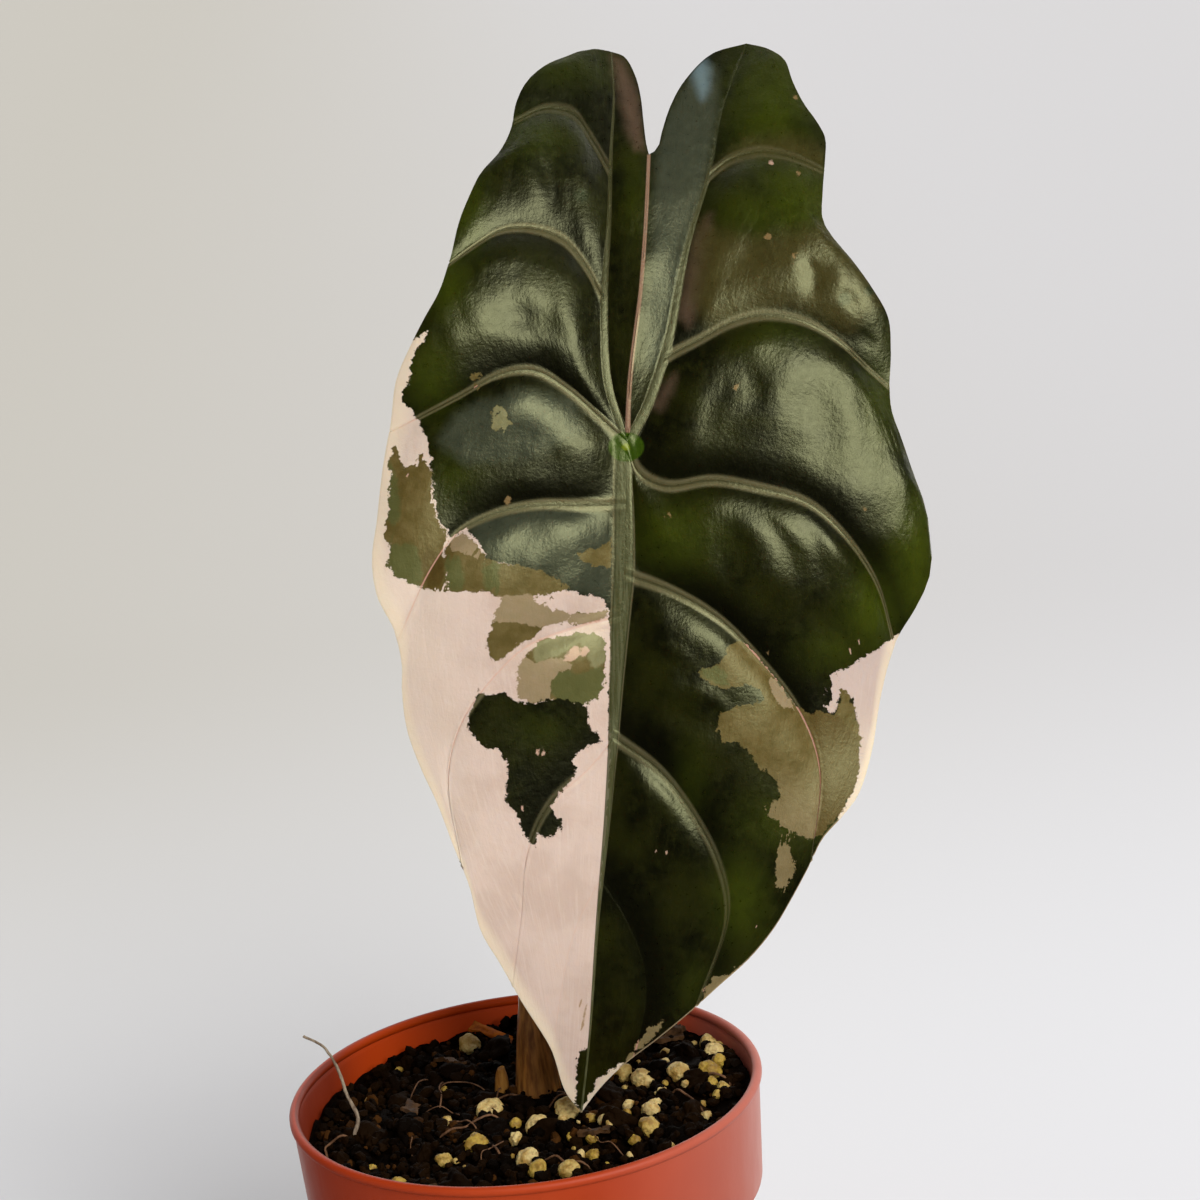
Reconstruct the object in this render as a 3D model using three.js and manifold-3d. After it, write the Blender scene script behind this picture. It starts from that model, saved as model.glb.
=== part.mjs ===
// Alocasia chantrieri in a small plastic nursery pot: one arrow-shaped leaf on one stalk
// Millimetres, +Z up, origin at the centre of the pot's flat underside, front towards -Y

import * as THREE from 'three';
import { mergeVertices } from 'three/addons/utils/BufferGeometryUtils.js';
import Module from 'manifold-3d';

const wasm = await Module();
wasm.setup();

// Pot
const POT_HEIGHT = 80;
const RIM_RADIUS = 45;
const LIP_RADIUS = 0.95;
const BASE_RADIUS = 32;
const BASE_EDGE = 1;
const STEP_HEIGHT = 57;
const STEP_DEPTH = 1.8;
const BAND_FLARE = 1.3;
const WALL = 1.3;
const FLOOR = 1.6;
const DRAIN_COUNT = 8;
const DRAIN_RING_RADIUS = 21;
const DRAIN_RADIUS = 3;
const ROUND_SIDES = 48;

// Clearance between neighbouring pieces
const GAP = 0.3;

// Soil: its surface rises to the right and to the back, with low waves over it
const SOIL_LEVEL = 74.3;
const SOIL_RISE_RIGHT = 0.045;
const SOIL_RISE_BACK = 0.03;
const SOIL_WAVES = [
  { height: 0.35, right: 0.21, back: 0.19, shift: 0.5 },
  { height: 0.35, right: 0.21, back: -0.19, shift: 1.5 },
  { height: 0.4, right: 0.47, back: 0.33, shift: 0 },
];
const SOIL_RINGS = [0.88, 0.73, 0.57, 0.4, 0.22, 0];

// Mineral grains: those that show at the front, as place right and back and width, then a seeded draw
const FRONT_GRAINS = [
  [-7, 2, 5.5], [-10.5, -12, 5], [-16.5, -16, 3.5], [-25, -22, 3.5], [1.5, -7, 4.5], [-1, -20, 4.5],
  [7.5, -4.5, 4.5], [19, 9, 4.5], [22.5, 5, 4.5], [29.5, 2.5, 4.5], [24, -9, 4.5], [22, -17, 4.5],
  [35, 1.5, 5], [37, 10, 4], [-10, 33, 4.5], [6, -28.5, 4],
];
const GRAIN_COUNT = 36;
const GRAIN_SEED = 7;
const GRAIN_LEAST_WIDTH = 3;
const GRAIN_MOST_WIDTH = 5;
const GRAIN_SPACING = 4.5;
const GRAIN_REACH = 38;
const GRAIN_SHAPE = [1, 0.85, 0.75];
const GRAIN_LIFT = 0.12;

// Stalk: swollen at its foot, then slender up to the leaf
const STALK_BASE = [2.5, 8];
const STALK_DEPTH = 10;
const STALK_PATH = [[3.7, 9.3, 93], [9.5, 14.5, 125], [19, 21, 157], [28, 25, 183], [31.8, 22.5, 194.5]];
const STALK_SEAT_RUN = 3;
const STALK_BASE_RADIUS = 4.6;
const STALK_RADIUS = 2.9;
const STALK_TOP_RADIUS = 2;
const SWOLLEN_SHARE = 0.07;
const SWOLLEN_FADE = 0.09;

// Old stalk stub beside it
const STUB_BASE = [-4.6, 9.9];
const STUB_LEAN = [-0.6, -0.4];
const STUB_RADIUS = 1.5;
const STUB_HEIGHT = 4.5;
const STUB_TAPER = 0.55;

// Dry root that stands at the left and curls over the rim
const ROOT_BASE = [-33.2, -0.8];
const ROOT_PATH = [
  [-32.2, 0.5, 76.7], [-33.8, 2.8, 80.8], [-35, 4.6, 85.5], [-37.2, 5.5, 90], [-40.8, 6.3, 92.4],
];
const ROOT_RADIUS = 0.55;
const ROOT_TAPER = 0.3;

// Leaf: where the stalk meets it, the way it faces, and its thickness along that way
const LEAF_JOINT = new THREE.Vector3(32.4, 13.8, 198.3);
const LEAF_RIGHT = new THREE.Vector3(0.9925, -0.0681, -0.1011);
const LEAF_UP = new THREE.Vector3(0.1157, 0.2656, 0.9571);
const LEAF_FRONT = new THREE.Vector3(-0.0384, -0.9617, 0.2715);
const LEAF_THICKNESS = 1;

// The outline is drawn as an eye sees it from this far, level with this point of the leaf
const EYE_DISTANCE = 628;
const EYE_AIM = [-5, -29];

// Relief: the blade swells between its veins, least at its margin, and over the seam of the lobes.
// It rises slowly above each side vein and drops quickly to the next one
const SWELL = 3.1;
const SWELL_REACH = 3.8;
const REACH_ABOVE_VEIN = 7;
const REACH_BELOW_VEIN = 3;
const FULL_SWELL_WIDTH = 24;
const LEAST_EDGE_SWELL = 0.45;
const SEAM_SWELL = 0.85;
const SLEEK_SWELL = 0.3;
const SLEEK_FROM = 28;
const SLEEK_TO = 62;

// Half widths of the veins, which taper outwards
const MIDRIB_HALF_WIDTH = 2.4;
const MIDRIB_TAPER = 1.4;
const LOBE_VEIN_HALF_WIDTH = 1.1;
const SIDE_VEIN_HALF_WIDTH = 1.1;
const SIDE_VEIN_TAPER = 0.8;

// Form under the relief: each half rises from the midrib or its lobe's vein and rounds out again
const BLADE_LEAN = 0.065;
const LOBES_LEAN = 0.11;
const LOBES_SPREAD = 1.3;
const FOLD_ROUNDING = 2;
const DISH_RISE = 0.26;
const DISH_FALL = 0.0062;

// The whole blade is bowed, so that its lobes and its tip curve back
const BOW_PEAK = 4;
const BOW_FALL = 0.00165;
const BOW_CENTRE = 32;
const LOBES_FALL = 0.0052;
const LOBES_FALL_FROM = 8;

// The edge is waved, each half with its own shift
const WAVE_HEIGHT = 2.6;
const WAVE_RATE = 0.105;
const WAVE_FULL_AT = 40;
const WAVE_SHIFT_LEFT = 4.6;
const WAVE_SHIFT_RIGHT = 3.1;

// Leaf outline, right and up from the joint
const LEFT_MARGIN = [
  [-3, 72], [-7, 72.5], [-11.5, 71], [-15, 69.5], [-18.5, 66.5], [-20.5, 62.5], [-21.5, 57.5],
  [-23.5, 53.5], [-27, 49.5], [-29, 45.5], [-31, 40.5], [-32.5, 34.5], [-34.5, 28], [-37.5, 22.5],
  [-40, 17.5], [-42.5, 11.5], [-43.5, 4], [-45, -5], [-46, -14], [-47, -22], [-46, -28.5], [-43, -34.5],
  [-41.5, -41], [-41.5, -45.5], [-40.5, -53], [-38, -60], [-35, -66.5], [-32, -74.5], [-29, -82],
  [-27, -90], [-23.5, -96], [-19.5, -103], [-14, -112], [-11.5, -119.5], [-8.5, -123.5],
];
const RIGHT_MARGIN = [
  [22, 73.5], [26, 72.5], [29, 70.5], [30.5, 66.5], [32.5, 62.5], [35, 59], [36.5, 56], [36.5, 52],
  [36, 46], [36, 41], [38, 37.5], [41, 34], [45, 28.5], [48, 23], [48.5, 17], [48.5, 6.5], [50.5, 0.5],
  [52.5, -5.5], [55, -12.5], [56, -19.5], [55.5, -25], [53, -30.5], [50, -35.5], [48, -41],
  [46.5, -47.5], [45, -57], [42.5, -65], [39.5, -69], [36, -73], [33.5, -78], [30, -84.5], [27, -89.5],
  [22.5, -95], [17, -100], [11.5, -105], [5.5, -110], [-1, -115], [-5, -119], [-8.5, -123.5],
];
const MIDRIB = [[0, 0], [-0.5, -21.5], [-2, -43.5], [-3.5, -66], [-5.5, -88], [-7, -110], [-8.5, -123.5]];
const LEFT_LOBE_VEIN = [[0, 0], [-3, 10], [-4, 24.5], [-3.5, 40], [-3, 54], [-2.5, 63.5], [-3, 72]];
const RIGHT_LOBE_VEIN = [[0, 0], [4, 7], [7.5, 18], [11, 35.5], [15, 49], [17.5, 61.5], [22, 73.5]];

// Where the two lobes meet: their seam, then the notch's left and right edges
const SEAM = [[0, 0], [0.5, 11.5], [2.5, 28], [3.5, 42], [4, 53]];
const LEFT_NOTCH = [[4, 53], [3.5, 55], [3, 59], [2.5, 63.5], [1.5, 67.5], [-0.5, 71], [-3, 72]];
const RIGHT_NOTCH = [[4, 53], [5.5, 54], [6.5, 57.5], [8, 62], [10.5, 66.5], [15.5, 71.5], [22, 73.5]];

// Side veins, each from its main vein to the margin
const LEFT_FIRST_VEIN = [[0, 0], [-5, 5], [-11, 10.5], [-17, 14], [-23.5, 13.5], [-31, 9.5], [-43.5, 2.5]];
const LEFT_BLADE_VEINS = [
  LEFT_FIRST_VEIN,
  [[-0.5, -11.5], [-8.5, -11.5], [-17, -11.5], [-24, -13], [-31, -16.5], [-36, -23], [-42, -36.5]],
  [[-1.5, -32], [-9.5, -34], [-18.5, -37.5], [-24.5, -43], [-30.5, -51.5], [-33, -61.5], [-30.5, -78]],
  [[-2.5, -55], [-7, -60], [-14.5, -67], [-18.5, -76], [-19.5, -87], [-21, -100]],
  [[-5, -80.5], [-8.5, -87], [-11, -94.5], [-12.5, -103], [-14, -112.5]],
];
const LEFT_LOBE_VEINS = [
  LEFT_FIRST_VEIN,
  [[-4, 26.5], [-8, 33], [-12, 37.5], [-18, 39.5], [-23.5, 39], [-28.5, 36], [-32.5, 32.5]],
  [[-3.5, 50], [-7, 56.5], [-10, 60.5], [-15, 61.5], [-21, 59]],
];
const RIGHT_FIRST_VEIN = [[0, 0], [2, -5.5], [7, -8], [15.5, -7], [24.5, -8.5], [33, -11], [40, -17],
  [46, -26], [49, -37.5]];
const RIGHT_BLADE_VEINS = [
  RIGHT_FIRST_VEIN,
  [[-1, -24], [7.5, -27], [17, -32.5], [24.5, -40], [32, -50], [35.5, -60.5], [34, -77]],
  [[-2, -54], [6, -60.5], [12.5, -69], [17, -78], [18.5, -87], [13, -103.5]],
  [[-5, -80.5], [-0.5, -87], [3, -95.5], [3.5, -103], [1.5, -113.5]],
];
const RIGHT_LOBE_VEINS = [
  RIGHT_FIRST_VEIN,
  [[7, 15.5], [13.5, 19], [19, 22], [25, 23.5], [32, 22.5], [38.5, 19], [45, 13], [48.5, 10]],
  [[15, 49], [19, 52], [24.5, 53.5], [30.5, 52.5], [36.5, 50]],
];

// Steps from one side vein to the next, from the main vein to the margin, and across to the seam
const STEPS_BETWEEN_VEINS = [0, 0.14, 0.4, 0.72];
const LAST_STEPS = [0, 0.14, 0.36, 0.56, 0.74, 0.87, 0.95];
const STEPS_TO_MARGIN = [0, 0.08, 0.2, 0.36, 0.52, 0.68, 0.83, 0.94, 1];
const STEPS_TO_SEAM = [0, 0.22, 0.5, 0.78, 1];
const LEAST_STEP = 0.008;

// The share of each lobe's vein that runs beside the seam, and where the strip by the notch sinks,
// counted from the notch's foot, with its full depth as one
const NOTCH_START = 0.74;
const SINKS_FROM = -0.5;
const EDGE_SUNK_AT = 0.6;

// A solid that manifold can join and cut, from a closed three.js geometry
function solidOf(geometry) {
  const bare = geometry.clone();
  bare.deleteAttribute('normal');
  bare.deleteAttribute('uv');
  const merged = mergeVertices(bare, 1e-4);
  return new wasm.Manifold(new wasm.Mesh({
    numProp: 3,
    vertProperties: new Float32Array(merged.attributes.position.array),
    triVerts: new Uint32Array(merged.index.array),
  }));
}

function geometryOf(solid) {
  const mesh = solid.getMesh();
  const geometry = new THREE.BufferGeometry();
  geometry.setAttribute('position', new THREE.BufferAttribute(mesh.vertProperties, 3));
  geometry.setIndex(new THREE.BufferAttribute(mesh.triVerts, 1));
  geometry.computeVertexNormals();
  return geometry;
}

// A profile of radius and height, turned round the Z axis
function turned(profile) {
  const points = profile.map(([radius, height]) => new THREE.Vector2(radius, height));
  return new THREE.LatheGeometry(points, ROUND_SIDES).rotateX(Math.PI / 2);
}

function curveThrough(points) {
  const vectors = points.map(([a, b]) => new THREE.Vector3(a, b, 0));
  return new THREE.CatmullRomCurve3(vectors);
}

// A closed round tube along a curve, whose radius follows a function of the way along
function taperedTube(curve, radiusAt, sides, steps) {
  const frames = curve.computeFrenetFrames(steps, false);
  const positions = [];
  const faces = [];
  for (let i = 0; i <= steps; i += 1) {
    const centre = curve.getPointAt(i / steps);
    for (let k = 0; k < sides; k += 1) {
      const angle = (2 * Math.PI * k) / sides;
      const point = centre.clone();
      point.addScaledVector(frames.normals[i], radiusAt(i / steps) * Math.cos(angle));
      point.addScaledVector(frames.binormals[i], radiusAt(i / steps) * Math.sin(angle));
      positions.push(point.x, point.y, point.z);
    }
  }
  for (let i = 0; i < steps; i += 1) {
    for (let k = 0; k < sides; k += 1) {
      const next = (k + 1) % sides;
      const low = i * sides;
      const high = low + sides;
      faces.push(low + k, low + next, high + next, low + k, high + next, high + k);
    }
  }
  for (let k = 1; k < sides - 1; k += 1) {
    const top = steps * sides;
    faces.push(0, k + 1, k, top, top + k, top + k + 1);
  }
  const geometry = new THREE.BufferGeometry();
  geometry.setAttribute('position', new THREE.Float32BufferAttribute(positions, 3));
  geometry.setIndex(faces);
  geometry.computeVertexNormals();
  return geometry;
}

// The outer wall's radius at a height: a cone up to the step, and a wider band from there to the lip
function outerRadius(height) {
  const bandTop = RIM_RADIUS - LIP_RADIUS / 2;
  const bandFoot = bandTop - BAND_FLARE;
  if (height > STEP_HEIGHT) {
    return THREE.MathUtils.mapLinear(height, STEP_HEIGHT, POT_HEIGHT, bandFoot, bandTop);
  }
  return THREE.MathUtils.mapLinear(height, 0, STEP_HEIGHT, BASE_RADIUS, bandFoot - STEP_DEPTH);
}

function innerRadius(height) {
  return outerRadius(height) - WALL;
}

function makePot() {
  const lip = [-60, -10, 40, 90, 140, 190, 240].map((degrees) => {
    const angle = THREE.MathUtils.degToRad(degrees);
    return [
      RIM_RADIUS - LIP_RADIUS + LIP_RADIUS * Math.cos(angle),
      POT_HEIGHT - LIP_RADIUS + LIP_RADIUS * Math.sin(angle),
    ];
  });
  const wall = turned([
    [0, 0],
    [BASE_RADIUS - BASE_EDGE, 0],
    [outerRadius(BASE_EDGE), BASE_EDGE],
    [outerRadius(STEP_HEIGHT), STEP_HEIGHT],
    [outerRadius(STEP_HEIGHT + WALL), STEP_HEIGHT + WALL],
    ...lip,
    [innerRadius(STEP_HEIGHT + WALL), STEP_HEIGHT + WALL],
    [innerRadius(STEP_HEIGHT), STEP_HEIGHT],
    [innerRadius(FLOOR), FLOOR],
    [0, FLOOR],
  ]);
  let pot = solidOf(wall);
  for (let i = 0; i < DRAIN_COUNT; i += 1) {
    const angle = (2 * Math.PI * (i + 0.5)) / DRAIN_COUNT;
    const drill = new THREE.CylinderGeometry(DRAIN_RADIUS, DRAIN_RADIUS, 4 * FLOOR, 12).rotateX(Math.PI / 2);
    drill.translate(DRAIN_RING_RADIUS * Math.cos(angle), DRAIN_RING_RADIUS * Math.sin(angle), 0);
    pot = pot.subtract(solidOf(drill));
  }
  return geometryOf(pot);
}

// The soil's surface: a tilted plane with low waves
function soilHeight(x, y) {
  const plane = SOIL_LEVEL + SOIL_RISE_RIGHT * x + SOIL_RISE_BACK * y;
  return SOIL_WAVES.reduce(
    (height, wave) => height + wave.height * Math.sin(wave.right * x + wave.back * y + wave.shift),
    plane,
  );
}

// The same draw of numbers each time
function makeRandom(seed) {
  let state = seed;
  return () => {
    state = (state * 16807) % 2147483647;
    return state / 2147483647;
  };
}

// The filling of the pot, whose top follows the soil's surface
function soilBody(top) {
  const body = turned([
    [0, FLOOR + GAP],
    [innerRadius(FLOOR) - GAP, FLOOR + GAP],
    [innerRadius(STEP_HEIGHT) - GAP, STEP_HEIGHT],
    [innerRadius(STEP_HEIGHT + WALL) - GAP, STEP_HEIGHT + WALL + GAP],
    [top, SOIL_LEVEL],
    ...SOIL_RINGS.map((share) => [share * top, SOIL_LEVEL]),
  ]);
  const places = body.attributes.position;
  for (let i = 0; i < places.count; i += 1) {
    if (places.getZ(i) > SOIL_LEVEL - GAP) {
      places.setZ(i, soilHeight(places.getX(i), places.getY(i)));
    }
  }
  return solidOf(body);
}

// The shown grains, and more of them drawn anywhere clear of the rest
function grainPlaces(random) {
  const grains = [...FRONT_GRAINS];
  while (grains.length < FRONT_GRAINS.length + GRAIN_COUNT) {
    const radius = GRAIN_REACH * Math.sqrt(random());
    const angle = 2 * Math.PI * random();
    const width = THREE.MathUtils.lerp(GRAIN_LEAST_WIDTH, GRAIN_MOST_WIDTH, random());
    const place = [radius * Math.cos(angle), radius * Math.sin(angle)];
    if (grains.every(([x, y]) => Math.hypot(place[0] - x, place[1] - y) > GRAIN_SPACING)) {
      grains.push([...place, width]);
    }
  }
  return grains;
}

function makeSoil() {
  const top = innerRadius(SOIL_LEVEL) - GAP;
  const random = makeRandom(GRAIN_SEED);
  let soil = soilBody(top);
  for (const [x, y, width] of grainPlaces(random)) {
    const grain = new THREE.IcosahedronGeometry(width / 2, 0);
    grain.scale(...GRAIN_SHAPE);
    grain.rotateZ(random() * Math.PI);
    grain.translate(x, y, soilHeight(x, y) + GRAIN_LIFT * width);
    if (Math.hypot(x, y) + width / 2 + GAP < top) {
      soil = soil.add(solidOf(grain));
    }
  }
  const holes = [
    [STALK_BASE, STALK_BASE_RADIUS + GAP],
    [STUB_BASE, STUB_RADIUS + GAP],
    [ROOT_BASE, ROOT_RADIUS + GAP],
  ];
  const holeHeight = 2 * STALK_DEPTH + GAP;
  for (const [[x, y], radius] of holes) {
    const hole = new THREE.CylinderGeometry(radius, radius, holeHeight, 16).rotateX(Math.PI / 2);
    hole.translate(x, y, SOIL_LEVEL - STALK_DEPTH - GAP + holeHeight / 2);
    soil = soil.subtract(solidOf(hole));
  }
  return geometryOf(soil);
}

// The stalk stands in the soil, leans to the right behind the leaf and bends forward to meet it
function makeStalk() {
  const foot = new THREE.Vector3(...STALK_BASE, SOIL_LEVEL - STALK_DEPTH);
  const seat = placeOnLeaf({ a: 0, b: 0, swell: 0 }, -LEAF_THICKNESS / 2 - GAP);
  const curve = new THREE.CatmullRomCurve3([
    foot,
    new THREE.Vector3(...STALK_BASE, SOIL_LEVEL + 1),
    ...STALK_PATH.map((place) => new THREE.Vector3(...place)),
    seat.clone().addScaledVector(LEAF_FRONT, -STALK_SEAT_RUN),
    seat,
  ]);
  const radiusAt = (way) => {
    const swollen = Math.exp(-Math.max(0, way - SWOLLEN_SHARE) / SWOLLEN_FADE);
    const middle = THREE.MathUtils.lerp(STALK_RADIUS, STALK_TOP_RADIUS, way);
    return middle + (STALK_BASE_RADIUS - STALK_RADIUS) * swollen;
  };
  return taperedTube(curve, radiusAt, 10, 32);
}

// A short old stalk, cut and dried to a blunt tip
function makeStub() {
  const curve = new THREE.CatmullRomCurve3([
    new THREE.Vector3(...STUB_BASE, SOIL_LEVEL - STALK_DEPTH),
    new THREE.Vector3(...STUB_BASE, SOIL_LEVEL),
    new THREE.Vector3(STUB_BASE[0] + STUB_LEAN[0], STUB_BASE[1] + STUB_LEAN[1], SOIL_LEVEL + STUB_HEIGHT),
  ]);
  return taperedTube(curve, (way) => STUB_RADIUS * (1 - STUB_TAPER * way ** 4), 8, 8);
}

function makeDryRoot() {
  const curve = new THREE.CatmullRomCurve3([
    new THREE.Vector3(...ROOT_BASE, SOIL_LEVEL - STALK_DEPTH),
    new THREE.Vector3(...ROOT_BASE, SOIL_LEVEL - ROOT_RADIUS),
    ...ROOT_PATH.map((place) => new THREE.Vector3(...place)),
  ]);
  return taperedTube(curve, (way) => ROOT_RADIUS * (1 - ROOT_TAPER * way), 6, 22);
}

// How far along a curve the point nearest to a given one lies
function nearestWay(curve, [a, b]) {
  const samples = 400;
  let best = 0;
  let bestDistance = Infinity;
  for (let i = 0; i <= samples; i += 1) {
    const point = curve.getPointAt(i / samples);
    const distance = Math.hypot(point.x - a, point.y - b);
    if (distance < bestDistance) {
      best = i / samples;
      bestDistance = distance;
    }
  }
  return best;
}

// Swell at a distance from a vein: none on the vein, full a few millimetres away
function rise(distance, reach = SWELL_REACH) {
  return 1 - Math.exp(-Math.max(0, distance) / reach);
}

// How far the blade's smooth form stands forward at a point, before its relief
function bladeForm(a, b) {
  const axis = (b > 0 ? LOBES_LEAN : BLADE_LEAN) * b;
  const outside = Math.max(0, Math.abs(a - axis) - lobesHalfSpread(b));
  const side = Math.hypot(outside, FOLD_ROUNDING) - FOLD_ROUNDING;
  const dish = DISH_RISE * side - DISH_FALL * side ** 2;
  const curl = LOBES_FALL * Math.max(0, b - LOBES_FALL_FROM) ** 2;
  const bow = BOW_PEAK - BOW_FALL * (b + BOW_CENTRE) ** 2 - curl;
  const shift = a > BLADE_LEAN * b ? WAVE_SHIFT_RIGHT : WAVE_SHIFT_LEFT;
  const wave = WAVE_HEIGHT * Math.min(1, (side / WAVE_FULL_AT) ** 2) * Math.sin(WAVE_RATE * b + shift);
  return dish + bow + wave;
}

// Half the distance between the two lobes' veins, at a height above the joint
function lobesHalfSpread(b) {
  return LOBES_SPREAD * Math.sqrt(Math.max(0, b));
}

// The side veins of one part of the blade, each as its ends' places and its bend away from a straight line
function ribsOf(axis, margin, veins, end) {
  const ribs = veins.map((points) => {
    const start = nearestWay(axis, points[0]);
    const finish = nearestWay(margin, points[points.length - 1]);
    const from = axis.getPointAt(start);
    const to = margin.getPointAt(finish);
    const inner = points.slice(1, -1).map(([a, b]) => new THREE.Vector3(a, b, 0));
    const curve = new THREE.CatmullRomCurve3([from, ...inner, to]);
    return { start, finish, bend: (v) => curve.getPointAt(v).sub(from.clone().lerp(to, v)) };
  });
  ribs.push({ start: 1, finish: end, bend: () => new THREE.Vector3() });
  return ribs;
}

// Places along a main vein where rows of faces start, the same for the parts on its two sides
function stationsOf(...ribLists) {
  const ways = [1];
  for (const ribs of ribLists) {
    for (let k = 0; k + 1 < ribs.length; k += 1) {
      const steps = k + 2 < ribs.length ? STEPS_BETWEEN_VEINS : LAST_STEPS;
      ways.push(...steps.map((f) => THREE.MathUtils.lerp(ribs[k].start, ribs[k + 1].start, f)));
    }
  }
  ways.sort((p, q) => p - q);
  return ways.filter((way, i) => i === 0 || way - ways[i - 1] > LEAST_STEP);
}

// A part of the blade between a main vein and the margin, as rows of points that follow the side veins
function veinedRows(axis, margin, ribs, stations, ribWidthAt, fullnessAt = () => 1) {
  const upwards = axis.getPointAt(1).y > 0;
  const nearReach = upwards ? REACH_ABOVE_VEIN : REACH_BELOW_VEIN;
  const farReach = upwards ? REACH_BELOW_VEIN : REACH_ABOVE_VEIN;
  return stations.map((way) => {
    const k = Math.max(0, ribs.findIndex((rib) => rib.start >= way) - 1);
    const [rib, next] = [ribs[k], ribs[k + 1]];
    const f = (way - rib.start) / (next.start - rib.start);
    const root = axis.getPointAt(way);
    const edge = margin.getPointAt(THREE.MathUtils.lerp(rib.finish, next.finish, f));
    const width = root.distanceTo(edge);
    return STEPS_TO_MARGIN.map((v) => {
      const bend = rib.bend(v).lerp(next.bend(v), f);
      const point = root.clone().lerp(edge, v).add(bend);
      const reach = spanBetween(axis, margin, rib, next, v);
      const vein = SIDE_VEIN_HALF_WIDTH * (1 - SIDE_VEIN_TAPER * v);
      const fromSideVeins = rise(f * reach - vein, nearReach) * rise((1 - f) * reach - vein, farReach);
      const fromVeins = fromSideVeins * rise(v * width - ribWidthAt(way));
      const edgeDroop = THREE.MathUtils.lerp(LEAST_EDGE_SWELL, 1, rise((1 - v) * width));
      const fullness = Math.min(1, width / FULL_SWELL_WIDTH) * fullnessAt(root.y);
      return { a: point.x, b: point.y, swell: fromVeins * edgeDroop * fullness };
    });
  });
}

// The share of swell left on the blade's left half, which is nearly smooth towards its tip
function sleekLeft(b) {
  return THREE.MathUtils.lerp(1, SLEEK_SWELL, THREE.MathUtils.smoothstep(-b, SLEEK_FROM, SLEEK_TO));
}

// The distance between two neighbouring side veins, the same share of the way out along each
function spanBetween(axis, margin, rib, next, v) {
  const [low, high] = [rib, next].map((one) => {
    const straight = axis.getPointAt(one.start).lerp(margin.getPointAt(one.finish), v);
    return straight.add(one.bend(v));
  });
  return low.distanceTo(high);
}

// The part of a lobe between its vein and the seam, then the notch
function lobeRows(axis, seam, notch, stations, ribWidthAt) {
  return stations.map((way) => {
    const root = axis.getPointAt(way);
    const past = (way - NOTCH_START) / (1 - NOTCH_START);
    const edge = past <= 0 ? seam.getPointAt(way / NOTCH_START) : notch.getPointAt(past);
    const width = root.distanceTo(edge);
    const fade = SEAM_SWELL * (1 - THREE.MathUtils.smoothstep(past, SINKS_FROM, 1));
    const droop = THREE.MathUtils.smoothstep(past, SINKS_FROM, EDGE_SUNK_AT);
    const leastAtEdge = THREE.MathUtils.lerp(1, LEAST_EDGE_SWELL, droop);
    return STEPS_TO_SEAM.map((v) => {
      const point = root.clone().lerp(edge, v);
      const fromVein = rise(v * lobesHalfSpread(point.y) - ribWidthAt(way));
      const fromEdge = THREE.MathUtils.lerp(leastAtEdge, 1, rise((1 - v) * width));
      return { a: point.x, b: point.y, swell: fade * fromVein * fromEdge };
    });
  });
}

// Collects the blade's front face, joining what its parts share
function makeFace() {
  const points = [];
  const triangles = [];
  const known = new Map();
  const indexOf = (point) => {
    const key = `${point.a.toFixed(2)},${point.b.toFixed(2)}`;
    if (!known.has(key)) {
      known.set(key, points.length);
      points.push(point);
    }
    return known.get(key);
  };
  const addTriangle = (i, j, k) => {
    if (i === j || j === k || k === i) {
      return;
    }
    const [p, q, r] = [points[i], points[j], points[k]];
    const turn = (q.a - p.a) * (r.b - p.b) - (r.a - p.a) * (q.b - p.b);
    triangles.push(turn > 0 ? [i, j, k] : [i, k, j]);
  };
  const addRows = (rows) => {
    const numbered = rows.map((row) => row.map(indexOf));
    for (let i = 0; i + 1 < rows.length; i += 1) {
      for (let j = 0; j + 1 < rows[i].length; j += 1) {
        const [p, q] = [numbered[i][j], numbered[i][j + 1]];
        const [r, s] = [numbered[i + 1][j + 1], numbered[i + 1][j]];
        const firstDiagonal = Math.hypot(points[p].a - points[r].a, points[p].b - points[r].b);
        const otherDiagonal = Math.hypot(points[q].a - points[s].a, points[q].b - points[s].b);
        if (firstDiagonal < otherDiagonal) {
          addTriangle(p, q, r);
          addTriangle(p, r, s);
        } else {
          addTriangle(p, q, s);
          addTriangle(q, r, s);
        }
      }
    }
  };
  return { points, triangles, addRows };
}

// A leaf point in the part's own frame; what stands nearer to the eye is drawn in towards its aim
function placeOnLeaf({ a, b, swell }, offset) {
  const height = bladeForm(a, b) + SWELL * swell;
  const shrink = 1 - height / EYE_DISTANCE;
  const place = LEAF_JOINT.clone();
  place.addScaledVector(LEAF_RIGHT, EYE_AIM[0] + (a - EYE_AIM[0]) * shrink);
  place.addScaledVector(LEAF_UP, EYE_AIM[1] + (b - EYE_AIM[1]) * shrink);
  return place.addScaledVector(LEAF_FRONT, height + offset);
}

// Front and back faces split alike, and a wall round every open edge
function thickened({ points, triangles }) {
  const count = points.length;
  const positions = [];
  for (const offset of [LEAF_THICKNESS / 2, -LEAF_THICKNESS / 2]) {
    for (const point of points) {
      positions.push(...placeOnLeaf(point, offset).toArray());
    }
  }
  const faces = [];
  const edges = new Map();
  for (const [i, j, k] of triangles) {
    faces.push(i, j, k, count + i, count + k, count + j);
    for (const [from, to] of [[i, j], [j, k], [k, i]]) {
      edges.set(`${from},${to}`, [from, to]);
    }
  }
  for (const [from, to] of edges.values()) {
    if (!edges.has(`${to},${from}`)) {
      faces.push(from, count + from, count + to, from, count + to, to);
    }
  }
  const geometry = new THREE.BufferGeometry();
  geometry.setAttribute('position', new THREE.Float32BufferAttribute(positions, 3));
  geometry.setIndex(faces);
  geometry.computeVertexNormals();
  return geometry;
}

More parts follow.
